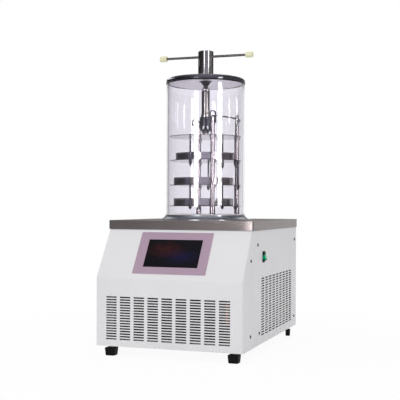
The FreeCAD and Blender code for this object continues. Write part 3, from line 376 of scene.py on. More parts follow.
def painted_reflection_inside(tree, shade, across, radius, colour):
    """Painted reflection: colour that fades to another in the middle, inside a radius round the
    chamber's axis.
    """
    place = add(tree, "ShaderNodeTexCoord").outputs["Object"]
    side = add(tree, "ShaderNodeVectorMath", {0: place, 1: across}, operation="DOT_PRODUCT")
    side = add(tree, "ShaderNodeMath", {0: side.outputs["Value"]}, operation="ABSOLUTE").outputs[0]
    middle = add(tree, "ShaderNodeMapRange", {
        "Value": side, "From Min": 0.068, "From Max": 0.098, "To Min": 1.0, "To Max": 0.0,
    }).outputs["Result"]
    flat = add(tree, "ShaderNodeVectorMath", {0: place, 1: (1, 1, 0)}, operation="MULTIPLY")
    inward = add(tree, "ShaderNodeVectorMath", {
        0: flat.outputs["Vector"], 1: (0, AXIS_Y * MM, 0),
    }, operation="DISTANCE").outputs["Value"]
    inner = add(tree, "ShaderNodeMath", {0: inward, 1: radius}, operation="LESS_THAN").outputs[0]
    share = add(tree, "ShaderNodeMath", {0: middle, 1: inner}, operation="MULTIPLY").outputs[0]
    return add(
        tree, "ShaderNodeMix", {"Factor": share, "A": shade, "B": (*colour, 1)}, data_type="RGBA",
    ).outputs["Result"]


# %% [markdown]
# A finish is one of the two groups, a Bump node and a Principled shader with its own plain values.
# Each real material of the machine gets one, and a dictionary keeps them by name.
# %% One finish
FINISHES = {}


def finish(name, effect, colour, other, roughness, spread, pattern, bump,
           satin=None, pale=None, **plain):
    """Material from a group; pattern is the grain's size or the brushing's stretch."""
    material = bpy.data.materials.new(name)
    material.use_nodes = True
    tree = material.node_tree
    tree.nodes.clear()
    look = add(tree, "ShaderNodeGroup", {
        "Colour": (*colour, 1), "Other colour": (*other, 1), "Roughness": roughness,
        "Spread": spread, "Stretch" if effect is brushed else "Scale": pattern,
    }, node_tree=effect)
    lift = add(tree, "ShaderNodeBump", {
        "Height": look.outputs["Height"], "Strength": bump, "Distance": 0.0002,
    })
    polish = look.outputs["Roughness"]
    shade = look.outputs["Colour"]
    if satin:
        polish = dull_above(tree, polish, *satin)
    # A pale setting paints a reflection: the colour turns paler in the middle.
    if pale:
        shade = painted_reflection_inside(tree, shade, *pale)
    shader = add(tree, "ShaderNodeBsdfPrincipled", {
        "Base Color": shade, "Roughness": polish, "Normal": lift.outputs["Normal"], **plain,
    })
    add(tree, "ShaderNodeOutputMaterial", {0: shader.outputs[0]})
    FINISHES[name] = material


# %% [markdown]
# Most of the machine is metal: stainless steel in many states of polish, some copper, brass and
# aluminium. All take the brushing group. The lines run level on turned pieces, so they are
# stretched along x and y and packed closely along z. The darker steels sit behind the clear
# chamber, where the real rods and posts mirror a dim room: that dim reflection is painted shade in
# their colours. The lid's steel comes as two copies too, a pale one with painted light for the disc
# and a dark one with a painted dark reflection for the rim.
# %% Metals
# Name: colour, other colour, roughness, its spread, stretch of the lines, bump.
METALS = {
    "deck_steel": ((0.37, 0.32, 0.32), (0.30, 0.26, 0.26), 0.085, 0.03, (1.0, 1.0, 60.0), 0.05),
    # The lid's steel here is painted light; the rack, rod, head, gland, ram and rim steels are painted
    # shade.
    "lit_lid_steel": ((0.86, 0.83, 0.87), (0.82, 0.79, 0.83), 0.46, 0.05, (1.0, 1.0, 80.0), 0.02),
    "bright_steel": ((0.66, 0.64, 0.65), (0.60, 0.58, 0.59), 0.09, 0.05, (1.0, 1.0, 80.0), 0.02),
    "rack_steel": ((0.30, 0.27, 0.27), (0.27, 0.24, 0.24), 0.13, 0.04, (1.0, 1.0, 70.0), 0.0),
    "rod_steel": ((0.07, 0.065, 0.08), (0.05, 0.045, 0.06), 0.24, 0.08, (1.0, 1.0, 70.0), 0.02),
    "shaded_head_steel": ((0.035, 0.032, 0.042), (0.022, 0.020, 0.028), 0.20, 0.08, (1.0, 1.0, 70.0), 0.02),
    "shaded_gland_steel": ((0.06, 0.056, 0.06), (0.04, 0.036, 0.04), 0.12, 0.04, (1.0, 1.0, 70.0), 0.0),
    "bar_steel": ((0.15, 0.135, 0.135), (0.10, 0.090, 0.090), 0.34, 0.08, (1.0, 1.0, 50.0), 0.02),
    "tray_steel": ((0.60, 0.55, 0.57), (0.50, 0.46, 0.48), 0.10, 0.06, (0.4, 0.4, 18.0), 0.02),
    "shaded_ram_steel": ((0.25, 0.235, 0.215), (0.20, 0.19, 0.175), 0.16, 0.03, (1.0, 1.0, 60.0), 0.02),
    "rim_steel": ((0.31, 0.295, 0.33), (0.19, 0.18, 0.21), 0.09, 0.04, (1.0, 1.0, 40.0), 0.02),
    "trap_steel": ((0.60, 0.59, 0.60), (0.52, 0.51, 0.52), 0.25, 0.10, (1.0, 1.0, 40.0), 0.04),
    "foot_steel": ((0.57, 0.59, 0.64), (0.49, 0.51, 0.56), 0.19, 0.05, (1.0, 1.0, 60.0), 0.03),
    "screw_steel": ((0.12, 0.115, 0.12), (0.08, 0.075, 0.08), 0.3, 0.1, (1.0, 1.0, 40.0), 0.03),
    "fin_aluminium": ((0.55, 0.55, 0.56), (0.45, 0.45, 0.46), 0.35, 0.1, (1.0, 1.0, 30.0), 0.05),
    "copper": ((0.72, 0.36, 0.22), (0.55, 0.25, 0.14), 0.3, 0.2, (1.0, 1.0, 20.0), 0.03),
    "valve_brass": ((0.62, 0.45, 0.20), (0.52, 0.36, 0.15), 0.3, 0.1, (1.0, 1.0, 20.0), 0.03),
}
DECK_FACE = 0.4093      # height in metres over which the worktop is dull
for name, settings in METALS.items():
    satin = (DECK_FACE, 0.60) if name == "deck_steel" else None
    finish(name, brushed, *settings, satin=satin, Metallic=1.0)
print(len(METALS), "metals")

# %% [markdown]
# The rest is powder coat, rubber, printed film, plastic and foam, all with the grain group. A few
# carry a plain value more: the inner frame is grey metallic paint, and the blackest rubbers and
# plastics reflect less than a clean surface would, as fine dust dulls them.
# %% Paints, rubbers and plastics
# Name: colour, other colour, roughness, its spread, size of the grain, bump.
GRAINED = {
    "cover_paint": ((0.84, 0.83, 0.85), (0.81, 0.81, 0.83), 0.42, 0.1, 700.0, 0.12),
    "frame_steel": ((0.34, 0.34, 0.35), (0.28, 0.28, 0.29), 0.45, 0.2, 300.0, 0.1),
    "gasket_rubber": ((0.040, 0.040, 0.048), (0.028, 0.028, 0.034), 0.32, 0.1, 500.0, 0.1),
    "foot_rubber": ((0.003, 0.003, 0.004), (0.002, 0.002, 0.003), 0.60, 0.15, 600.0, 0.3),
    "seal_silicone": ((0.86, 0.85, 0.87), (0.82, 0.81, 0.83), 0.45, 0.1, 500.0, 0.1),
    "seal_rubber": ((0.020, 0.014, 0.022), (0.014, 0.010, 0.016), 0.5, 0.1, 500.0, 0.1),
    "label_film": ((0.47, 0.33, 0.43), (0.44, 0.31, 0.41), 0.38, 0.08, 900.0, 0.05),
    "black_plastic": ((0.004, 0.008, 0.006), (0.003, 0.006, 0.005), 0.45, 0.1, 900.0, 0.1),
    "grip_plastic": ((0.90, 0.89, 0.60), (0.87, 0.86, 0.56), 0.42, 0.1, 500.0, 0.05),
    "foam": ((0.75, 0.66, 0.42), (0.66, 0.57, 0.34), 0.9, 0.05, 250.0, 0.6),
    "compressor_paint": ((0.020, 0.020, 0.022), (0.030, 0.030, 0.032), 0.35, 0.2, 300.0, 0.2),
    "fan_plastic": ((0.05, 0.05, 0.055), (0.04, 0.04, 0.045), 0.5, 0.1, 500.0, 0.1),
    "board_green": ((0.02, 0.16, 0.07), (0.015, 0.12, 0.05), 0.4, 0.1, 400.0, 0.1),
}
ACROSS_VIEW = (0.945, 0.327, 0.0)
EXTRAS = {
    "frame_steel": {"Metallic": 1.0},
    "foot_rubber": {"Specular IOR Level": 0.12},
    "black_plastic": {"Specular IOR Level": 0.05},
    # The seal's pale middle is a painted reflection of the room's glow, across the camera's view.
    "seal_rubber": {"Specular IOR Level": 0.2, "pale": (ACROSS_VIEW, 0.1275, (0.80, 0.77, 0.83))},
}
for name, settings in GRAINED.items():
    finish(name, grained, *settings, **EXTRAS.get(name, {}))
print(len(GRAINED), "grained finishes")

# %% [markdown]
# Clear acrylic is a Principled shader with full transmission. Real light passes it almost without
# a shadow, but a renderer can't aim light through a bending surface, so for shadow rays alone
# the material is plainly transparent. The colour is the faint lavender of a thick cast tube.
# %% Clear acrylic
FINISHES["clear_acrylic"] = bpy.data.materials.new("clear_acrylic")
FINISHES["clear_acrylic"].use_nodes = True
tree = FINISHES["clear_acrylic"].node_tree
tree.nodes.clear()
place = add(tree, "ShaderNodeTexCoord").outputs["Object"]
smears = add(tree, "ShaderNodeTexNoise", {"Vector": place, "Scale": 14.0, "Detail": 3.0})
haze = ramp(tree, smears.outputs["Fac"], [(0.4, 0.015), (0.75, 0.045)])
streaks = add(tree, "ShaderNodeMapping", {"Vector": place, "Scale": (9.0, 9.0, 0.4)})
cast = add(tree, "ShaderNodeTexNoise", {"Vector": streaks.outputs[0], "Scale": 6.0, "Detail": 2.0})
tint = ramp(tree, cast.outputs["Fac"], [(0.35, (0.915, 0.900, 0.955)), (0.65, (0.940, 0.925, 0.965))])
glass = add(tree, "ShaderNodeBsdfPrincipled", {
    "Base Color": tint, "Roughness": haze, "IOR": 1.49, "Transmission Weight": 1.0,
})
through = add(tree, "ShaderNodeBsdfTransparent", {"Color": (0.93, 0.92, 0.95, 1)})
path = add(tree, "ShaderNodeLightPath").outputs
either = add(tree, "ShaderNodeMixShader", {
    0: path["Is Shadow Ray"], 1: glass.outputs[0], 2: through.outputs[0],
})
add(tree, "ShaderNodeOutputMaterial", {0: either.outputs[0]})
print("clear acrylic of", len(tree.nodes), "nodes")

# %% [markdown]
# The touch screen is a dark glass. It is lit, but so dimly that only a reddish and a bluish glow
# show, so its emission comes from two soft patches of noise. The rocker of the switch is a tinted
# green plastic with a lamp inside, so it glows a little too. Its glow patch sits low, so it is partly
# painted light: the lower half looks lit and the top, which the bezel shades, stays dark.
# %% Lit finishes


def lit(name, colour, patches, strength, roughness, shine):
    """Smooth plastic or glass with a faint glow in patches, each (centre, scale, low, high, colour).

    The centre is in metres. The scale is how often a patch's radius goes into a metre, each way.
    """
    material = bpy.data.materials.new(name)
    material.use_nodes = True
    tree = material.node_tree
    tree.nodes.clear()
    place = add(tree, "ShaderNodeTexCoord").outputs["Object"]
    cloud = add(tree, "ShaderNodeTexNoise", {"Vector": place, "Scale": 45.0, "Detail": 2.0})
    total = None
    for centre, scale, low, high, tint in patches:
        offset = [-c * k for c, k in zip(centre, scale)]
        around = add(tree, "ShaderNodeMapping", {"Vector": place, "Location": offset, "Scale": scale})
        near = add(tree, "ShaderNodeTexGradient", {0: around.outputs[0]}, gradient_type="SPHERICAL")
        broken = add(tree, "ShaderNodeMath", {
            0: near.outputs["Fac"], 1: cloud.outputs["Fac"],
        }, operation="MULTIPLY")
        shade = ramp(tree, broken.outputs[0], [(low, 0.0), (high, tint)])
        total = shade if total is None else add(
            tree, "ShaderNodeMix", {"Factor": 1.0, "A": total, "B": shade},
            data_type="RGBA", blend_type="ADD",
        ).outputs["Result"]
    smudge = add(tree, "ShaderNodeTexNoise", {"Vector": place, "Scale": 30.0, "Detail": 2.0})
    rough = add(tree, "ShaderNodeMapRange", {
        "Value": smudge.outputs["Fac"], "To Min": roughness * 0.7, "To Max": roughness * 1.4,
    })
    shader = add(tree, "ShaderNodeBsdfPrincipled", {
        "Base Color": (*colour, 1), "Roughness": rough.outputs["Result"], "Emission Color": total,
        "Emission Strength": strength, "Specular IOR Level": shine,
    })
    add(tree, "ShaderNodeOutputMaterial", {0: shader.outputs[0]})
    FINISHES[name] = material
    print(name, "of", len(tree.nodes), "nodes")


def beside(node, x, y, z):
    """Point beside the middle of a piece of the frame, in metres."""
    low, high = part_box(node)
    return (low + high) / 2 + Vector((x, y, z))


SCREEN_SCALE = (11.0, 24.0, 24.0)
lit("screen_black", (0.004, 0.003, 0.005), [
    (beside("screen_glass", -0.025, 0.006, 0.012), SCREEN_SCALE, 0.10, 0.50, (0.030, 0.004, 0.003)),
    (beside("screen_glass", 0.030, -0.008, -0.010), SCREEN_SCALE, 0.10, 0.55, (0.003, 0.003, 0.026)),
], 1.0, 0.12, 0.3)
# The rocker's low glow patch is partly its lamp and partly painted light, with painted shade at the
# top.
lit("switch_green", (0.0, 0.035, 0.016), [
    (beside("switch_rocker", 0.001, 0.0, -0.002), (60.0, 60.0, 75.0), 0.04, 0.40, (0.0, 0.46, 0.19)),
], 1.5, 0.30, 0.05)

# %% [markdown]
# Every piece of the frame carries the name of its material already. Swapping each for the finish
# of the same name dresses the whole machine at once.
# %% Dress the frame
for node in nodes.values():
    for slot in node.material_slots:
        slot.material = FINISHES[slot.material.name.split(".")[0]]
print("dressed", len(nodes), "pieces")

# %% [markdown]
# Turned pieces are most of this machine. Each starts as a half outline, radius against height,
# and one spin about the upright axis closes it. Sharp corners are then bevelled, because the
# thin bright line of an eased edge is what makes steel look like steel.
# %% Turning and easing


def turned(outline, steps=96, closed=False):
    """Piece turned about the upright axis from (radius, height) corners in millimetres."""
    bm = bmesh.new()
    corners = [bm.verts.new((r, 0, z)) for r, z in outline]
    for a, b in zip(corners, corners[1:]):
        bm.edges.new((a, b))
    if closed:
        bm.edges.new((corners[-1], corners[0]))
    bmesh.ops.spin(
        bm, geom=bm.verts[:] + bm.edges[:], cent=(0, 0, 0), axis=(0, 0, 1),
        angle=2 * math.pi, steps=steps, use_merge=True,
    )
    bmesh.ops.remove_doubles(bm, verts=bm.verts, dist=0.001)
    bmesh.ops.dissolve_degenerate(bm, edges=bm.edges, dist=0.001)
    bmesh.ops.recalc_face_normals(bm, faces=bm.faces)
    return bm


def ease(bm, width, segments=2, sharper_than=28):
    """Bevel every edge that turns more sharply than the angle."""
    limit = math.radians(sharper_than)
    sharp = [e for e in bm.edges if len(e.link_faces) == 2 and e.calc_face_angle(0) > limit]
    bmesh.ops.bevel(
        bm, geom=sharp, offset=width, offset_type="OFFSET", segments=segments, profile=0.5,
        affect="EDGES", material=-1, clamp_overlap=True,
    )
    bmesh.ops.remove_doubles(bm, verts=bm.verts, dist=0.002)
    bmesh.ops.dissolve_degenerate(bm, edges=bm.edges, dist=0.002)
    return bm


def moved(bm, x=0.0, y=0.0, z=0.0):
    """The same mesh, moved by millimetres."""
    bmesh.ops.translate(bm, verts=bm.verts, vec=(x, y, z))
    return bm


def rolled(bm, degrees, axis, centre=(0, 0, 0)):
    """The same mesh, rotated about an axis through the centre."""
    turn = Matrix.Rotation(math.radians(degrees), 3, axis)
    bmesh.ops.rotate(bm, verts=bm.verts, cent=centre, matrix=turn)
    return bm


def merged(pieces):
    """Several meshes as one."""
    whole = bmesh.new()
    for bm in pieces:
        passing = bpy.data.meshes.new("passing")
        bm.to_mesh(passing)
        bm.free()
        whole.from_mesh(passing)
        bpy.data.meshes.remove(passing)
    return whole


def made(name, bm, body, stands_for=None, slot=None, material=None, sharp=40):
    """Finished piece, in metres: smooth faces, crisp edges, a finish and a body to ride on."""
    bmesh.ops.scale(bm, verts=bm.verts, vec=(MM, MM, MM))
    for face in bm.faces:
        face.smooth = True
    for edge in bm.edges:
        edge.smooth = len(edge.link_faces) == 2 and edge.calc_face_angle(0) < math.radians(sharp)
    mesh = bpy.data.meshes.new(name)
    bm.to_mesh(mesh)
    bm.free()
    piece = bpy.data.objects.new(name, mesh)
    bpy.context.scene.collection.objects.link(piece)
    mesh.materials.append(FINISHES[material or slot])
    even = piece.modifiers.new("even_shading", "WEIGHTED_NORMAL")
    even.keep_sharp = True
    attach(piece, body)
    if stands_for:
        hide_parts(stands_for)
    print(name, "has", len(mesh.vertices), "vertices")


# %% [markdown]
# The clear chamber is a thick tube open at both ends. Its two rims are eased and polished, and
# they catch a bright line at the lid and at the foot. A cylinder with a Solidify modifier would
# do, but a spun wall gives the thickness at once, and the easing needs it.
# %% Clear chamber
FINE = 160              # steps of a turn for the widest pieces
CHAMBER = 130.0         # its outer radius, in millimetres
BORE = 124.0
tube = turned([
    (BORE, 428.0), (CHAMBER, 428.0), (CHAMBER, 858.4), (BORE, 858.4),
], steps=FINE, closed=True)
made("clear_chamber", moved(ease(tube, 0.8), y=AXIS_Y), "cabinet", "chamber_tube", "clear_acrylic")

# %% [markdown]
# The lid is a turned steel disc, a little dished underneath, in a pale copy of its steel that is
# painted light. A raised rim with a rounded shoulder runs round it, in a dark copy that is a painted
# dark reflection, and a dark rubber seal lies between the rim and the chamber. The shoulder is an
# arc, worked out rather than listed.
# %% Lid, rim and seal
disc = turned([
    (12.0, 868.6), (30.0, 867.6), (122.0, 858.6), (122.0, 873.0), (12.0, 871.0),
], steps=FINE, closed=True)
made("round_lid", moved(disc, y=AXIS_Y), "cabinet", "lid", "bright_steel", "lit_lid_steel")
ARC_STEPS = 12
ARC_FIRST = 9.0         # degrees up from level
ARC_SWEEP = 71.0
ARC_RADIUS = 11.0
arc = [math.radians(ARC_FIRST + ARC_SWEEP * i / ARC_STEPS) for i in range(ARC_STEPS + 1)]
rim = turned(
    [(122.0, 861.0), (130.0, 861.0), (131.0, 862.0)]
    + [(120.14 + ARC_RADIUS * math.cos(a), 865.28 + ARC_RADIUS * math.sin(a)) for a in arc]
    + [(121.0, 876.1), (121.0, 872.0), (122.0, 872.0)],
    steps=FINE, closed=True,
)
made("lid_rim", moved(rim, y=AXIS_Y), "cabinet", None, "bright_steel", "rim_steel", sharp=8)
ring = turned([
    (122.6, 857.6), (131.2, 857.6), (131.2, 861.0), (122.6, 861.0),
], steps=FINE, closed=True)
made("lid_seal", moved(ease(ring, 0.6), y=AXIS_Y), "cabinet", "lid_gasket", "gasket_rubber",
     "seal_rubber")

# %% [markdown]
# The press gland sits in the middle of the lid: a round boss above, and below a nut with a flange
# that narrows to a cone. The nut faces down into the dim chamber, so its steel is darkened: painted
# shade.
# %% Press gland
nut = turned([
    (6.3, 850.2), (7.2, 850.2), (7.2, 853.0), (15.4, 862.0), (15.4, 864.5), (21.6, 866.2),
    (21.6, 868.8), (12.0, 868.8), (12.0, 870.0), (6.3, 870.0),
], steps=64, closed=True)
made("gland_nut", moved(ease(nut, 0.9, 3), y=AXIS_Y), "cabinet", "press_gland", "bright_steel",
     "shaded_gland_steel")
boss = turned([
    (6.3, 870.0), (12.0, 870.0), (12.0, 871.0), (20.0, 871.0), (20.0, 889.0), (6.3, 889.0),
], steps=64, closed=True)
made("gland_boss", moved(ease(boss, 0.9, 3), y=AXIS_Y), "cabinet", None, "bright_steel")

# %% [markdown]
# Above the lid stands the polished sleeve of the press, with the cross bar through it and a plastic
# grip on each end. These turn together when the press is wound down, so they ride on the handle.
# The bar and the grips are turned upright like everything else, and then laid on their side.
# %% Press handle
sleeve = turned([
    (21.2, 891.0), (25.3, 891.0), (25.3, 968.5), (0.0, 968.5), (0.0, 938.5), (21.2, 938.5),
], steps=96, closed=True)
made("press_sleeve", moved(ease(sleeve, 1.6, 3), y=AXIS_Y), "press_handle", "press_column",
     "bright_steel")
BAR_HEIGHT = 950.5


def cross(bm):
    """Lay an upright turned piece along x at the height of the cross bar."""
    return moved(rolled(bm, 90, "Y"), y=AXIS_Y, z=BAR_HEIGHT)


round_bar = turned([(0.0, -152.0), (4.0, -152.0), (4.0, 152.0), (0.0, 152.0)], steps=32)
made("cross_bar", cross(ease(round_bar, 0.5)), "press_handle", "handle_bar", "bright_steel",
     "bar_steel")
grips = []
for half_turn in (180, 0):
    grip = turned([
        (0.0, 138.3), (8.9, 138.3), (9.6, 140.5), (9.6, 160.5), (8.7, 162.3), (0.0, 162.3),
    ], steps=48)
    grips.append(cross(rolled(ease(grip, 1.2, 3), half_turn, "Y")))
made("bar_grips", merged(grips), "press_handle", "handle_caps", "grip_plastic")

# %% [markdown]
# Inside the chamber the press goes on as a tube, in a darkened steel that is painted shade. A slim
# bright ring joins it to the screw above.
# %% Press ram
ram = turned([
    (0.0, 749.5), (15.5, 749.5), (15.5, 760.0), (13.8, 761.5), (13.8, 836.0), (12.6, 837.2),
    (0.0, 837.2),
], steps=64)
made("ram_barrel", moved(ease(ram, 0.4), y=AXIS_Y), "press_ram", "ram_tube", "bright_steel",
     "shaded_ram_steel")
ring = turned([
    (0.0, 837.2), (12.6, 837.2), (13.9, 839.0), (13.9, 842.0), (10.4, 847.4), (7.0, 850.0),
    (0.0, 850.0),
], steps=64)
made("ram_ring", moved(ease(ring, 0.5), y=AXIS_Y), "press_ram", None, "bright_steel")

# %% [markdown]
# The ram ends in a thick head, darkened as painted shade for the dim chamber it mirrors. Two cheeks
# reach down from it on either side of a cone, whose tip pushes the top plate down. A cheek is one
# small face, spun through part of a turn.
# %% Ram head
head = turned([
    (0.0, 749.5), (18.6, 749.5), (20.3, 747.8), (20.3, 741.0), (19.2, 739.8), (19.2, 737.6),
    (20.3, 736.4), (20.3, 721.0), (0.0, 721.0),
], steps=64)


def swept(corners, first, sweep, steps):
    """Closed piece from a face of (radius, height) corners, spun from one angle by a sweep."""
    bm = bmesh.new()
    face = bm.faces.new([bm.verts.new((r, 0, z)) for r, z in corners])
    rolled(bm, first, "Z")
    bmesh.ops.spin(
        bm, geom=[face], cent=(0, 0, 0), axis=(0, 0, 1), angle=math.radians(sweep), steps=steps,
    )
    bmesh.ops.recalc_face_normals(bm, faces=bm.faces)
    return bm


CHEEK = ((13.5, 721.5), (20.3, 721.5), (18.5, 706.0), (13.5, 703.0))
CHEEK_TURN = 19         # degrees that the pair is turned to the right
cheeks = []
for side in (0, 180):
    cheek = ease(swept(CHEEK, side - 48, 96, 24), 0.6)
    cheeks.append(rolled(cheek, CHEEK_TURN, "Z"))
whole_head = merged([ease(head, 0.6), *cheeks])
made("ram_foot", moved(whole_head, y=AXIS_Y), "press_ram", "ram_head", "rack_steel", "shaded_head_steel")
seat = turned([
    (0.0, 721.0), (3.0, 721.0), (4.5, 716.0), (12.5, 700.0), (12.5, 697.6), (11.9, 697.0),
    (0.0, 697.0),
], steps=64)
made("ram_seat", moved(seat, y=AXIS_Y), "press_ram", None, "bright_steel", "shaded_ram_steel")

# %% [markdown]
# The rack stands on three posts, each turned with a thicker foot. A strip bent over like a crook
# is welded to each, so that the cold rack can be lifted out with a hook. A curve with a bevel
# could make it, but its section is a rectangle: a small one is extruded up, spun half a turn over
# and extruded down again.
# %% Hook strip
STRIP = (4.0, 6.0)      # its section, in millimetres


def crook(start, span, foot, top, tail):
    """Strip from its foot up to the top, over by the span, and down to the tail."""
    bm = bmesh.new()
    bmesh.ops.create_grid(bm, x_segments=1, y_segments=1, size=0.5)
    bmesh.ops.scale(bm, verts=bm.verts, vec=(*STRIP, 1.0))
    moved(bm, start, 0, foot)
    crown = top - STRIP[0] / 2 - span / 2
    end = bm.edges[:]
    for rise in (crown - foot, None, tail - crown):
        if rise is None:
            spun = bmesh.ops.spin(
                bm, geom=end, cent=(start + span / 2, 0, crown), axis=(0, 1, 0), angle=math.pi,
                steps=16,
            )
            end = [g for g in spun["geom_last"] if isinstance(g, bmesh.types.BMEdge)]
        else:
            grown = bmesh.ops.extrude_edge_only(bm, edges=end)
            corners = [g for g in grown["geom"] if isinstance(g, bmesh.types.BMVert)]
            bmesh.ops.translate(bm, verts=corners, vec=(0, 0, rise))
            end = [g for g in grown["geom"] if isinstance(g, bmesh.types.BMEdge)]
            end = [e for e in end if all(v in corners for v in e.verts)]
    bmesh.ops.edgeloop_fill(bm, edges=end)
    bmesh.ops.remove_doubles(bm, verts=bm.verts, dist=0.001)
    bmesh.ops.recalc_face_normals(bm, faces=bm.faces)
    return ease(bm, 0.7, 2, 60)


# %% [markdown]
# The posts stand at three places round the rack, and each hook leans its own way. A dictionary
# holds what differs, and one loop makes all three.
# %% Rack posts
RACK_CIRCLE = 109.0     # radius at which posts and rods stand
# Place: its angle, the way its hook leans, then start, span, foot, top and tail of the hook.
POSTS = {
    "front": (31.0, 121.0, -8.8, 17.6, 721.0, 762.0, 721.0),
    "right": (121.0, 31.0, -8.8, 17.6, 721.0, 762.0, 721.0),
    "rear": (211.0, 300.0, 0.0, 23.0, 737.0, 755.0, 731.0),
}
for where, (angle, lean, *hook) in POSTS.items():
    x, y = on_circle(RACK_CIRCLE, angle)
    post = turned([
        (0.0, 414.0), (9.0, 414.0), (9.0, 450.0), (7.6, 454.0), (7.0, 454.0), (7.0, 741.6),
        (5.6, 743.0), (0.0, 743.0),
    ], steps=40)
    bow = rolled(crook(*hook), lean - 90, "Z")
    made("hook_" + where, moved(bow, x, y), "cabinet", None, "rack_steel", "rod_steel")
    made("post_" + where, moved(ease(post, 0.5), x, y), "cabinet", "rack_post_" + where, "rack_steel")

# %% [markdown]
# The front and the right post are tied by a flat bar bent to a quarter ring. The same sweep that
# made the cheeks makes it. It leans a little about its front end, as a weld by hand would leave it.
# %% Rack brace
BRACE = ((112.8, 743.0), (116.4, 743.0), (116.4, 747.0), (112.8, 747.0))
BRACE_FIRST = 29.0      # degrees round the chamber
BRACE_LEAN = -4
first = math.radians(BRACE_FIRST)
hinge = Vector((math.sin(first), -math.cos(first), 0))
brace = rolled(swept(BRACE, BRACE_FIRST - 90, 94, 32), BRACE_LEAN, hinge, (0, 0, 745))
made("post_brace", moved(ease(brace, 0.5), y=AXIS_Y), "cabinet", "rack_brace", "rack_steel",
     "rod_steel")

# %% [markdown]
# Each shelf hangs from the one above on three thin rods that slide through it and end in a pointed
# nut. The nut is fatter near its top and runs out to a small tip.
# %% Hanger rods
# Set: the body it rides on, its top, the shelf it holds, the angles, and the nut's length.
HANGERS = {
    "a": ("press_plate_set", 682.4, 603.1, (-7.0, 81.0, 166.0), 20.0),
    "b": ("shelf_upper_set", 603.1, 522.1, (45.0, 103.5, 193.5), 13.0),
    "c": ("shelf_middle_set", 522.1, 454.0, (-7.0, 81.0, 166.0), 10.0),
}
for name, (body, top, under, angles, tail) in HANGERS.items():
    rods = []
    for angle in angles:
        rod = turned([
            (0.0, under - tail), (1.5, under - tail), (4.4, under - tail * 0.62),
            (5.4, under - tail * 0.40), (5.4, under - tail * 0.16), (4.2, under - 0.3),
            (3.0, under - 0.3), (3.0, top), (0.0, top),
        ], steps=24)
        rods.append(moved(rod, *on_circle(RACK_CIRCLE, angle)))
    made("rods_" + name, merged(rods), body, "hanger_rods_" + name, "rack_steel", "rod_steel", sharp=30)

# %% [markdown]
# The trays are spun from thin sheet: a flat floor, a small radius, an upright wall, and a rim that
# is turned over so that it doesn't cut. The outline is drawn as a closed wall.
# %% Trays
# Place: the body it rides on, the height it stands at, and how far off the middle.
TRAYS = {
    "upper": ("shelf_upper_set", 605.1, 0.0),
    "middle": ("shelf_middle_set", 524.1, 6.5),
    "lower": ("cabinet", 456.0, 6.5),
}
SHIFT_ANGLE = -70.9
for where, (body, z, shift) in TRAYS.items():
    x, y = on_circle(shift, SHIFT_ANGLE)
    wall = turned([
        (0.0, z), (97.6, z), (99.0, z + 0.7), (99.6, z + 2.2), (99.6, z + 20.6), (100.0, z + 21.4),
        (100.0, z + 23.2), (99.3, z + 24.0), (98.3, z + 24.0), (97.7, z + 23.3), (98.4, z + 22.0),
        (98.4, z + 2.4), (97.4, z + 1.2), (0.0, z + 1.2),
    ], steps=128)
    made("tray_pan_" + where, moved(wall, x, y), body, "tray_" + where, "tray_steel", sharp=60)

# %% [markdown]
# The chamber stands on a flat rubber ring, on a steel flare that sweeps up from the worktop to a
# short upright collar. The flare was spun from sheet, so its section is one smooth hollow curve.
# %% Chamber foot
flare = turned([
    (118.3, 409.5), (153.4, 409.5), (153.4, 411.0), (147.0, 412.6), (142.0, 414.6), (138.0, 417.0),
    (135.0, 419.6), (133.4, 421.6), (132.95, 422.5), (132.6, 425.1), (132.1, 425.5),
    (118.3, 425.5),
], steps=FINE, closed=True)
made("foot_flare", moved(flare, y=AXIS_Y), "cabinet", "base_flange", "bright_steel", "foot_steel",
     sharp=50)
ring = turned([
    (121.0, 425.5), (132.0, 425.5), (132.0, 428.0), (121.0, 428.0),
], steps=FINE, closed=True)
made("foot_ring", moved(ease(ring, 0.5), y=AXIS_Y), "cabinet", "base_gasket", "gasket_rubber",
     "seal_silicone")

# %% [markdown]
# The front feet are square rubber blocks that narrow a little downwards, the rear ones small round
# bumpers. A cube with its upper face spread out and its edges rounded makes a block.
# %% Feet
SOLE = 30.0             # width of a block at the bench
HEEL = 34.0             # and under the cabinet
FOOT_HEIGHT = 23.5
soles = []
for x in (-190.0, 201.0):
    bm = bmesh.new()
    bmesh.ops.create_cube(bm, size=1.0)
    moved(bm, z=0.5)
    bmesh.ops.scale(bm, verts=bm.verts, vec=(SOLE, SOLE, FOOT_HEIGHT))
    upper = [v for v in bm.verts if v.co.z > FOOT_HEIGHT / 2]
    bmesh.ops.scale(bm, verts=upper, vec=(HEEL / SOLE, HEEL / SOLE, 1.0))
    uprights = [e for e in bm.edges if abs(e.verts[0].co.z - e.verts[1].co.z) > FOOT_HEIGHT / 2]
    bmesh.ops.bevel(
        bm, geom=uprights, offset=6.0, offset_type="OFFSET", segments=6, profile=0.5,
        affect="EDGES", material=-1,
    )
    soles.append(moved(ease(bm, 1.0, 3, 50), x, -327.0))
for x in (-222.0, 222.0):
    bumper = turned([(0.0, 0.0), (7.5, 0.0), (9.0, FOOT_HEIGHT), (0.0, FOOT_HEIGHT)], steps=32)
    soles.append(moved(ease(bumper, 0.8, 3), x, 244.3))
made("foot_blocks", merged(soles), "cabinet", "feet", "foot_rubber")

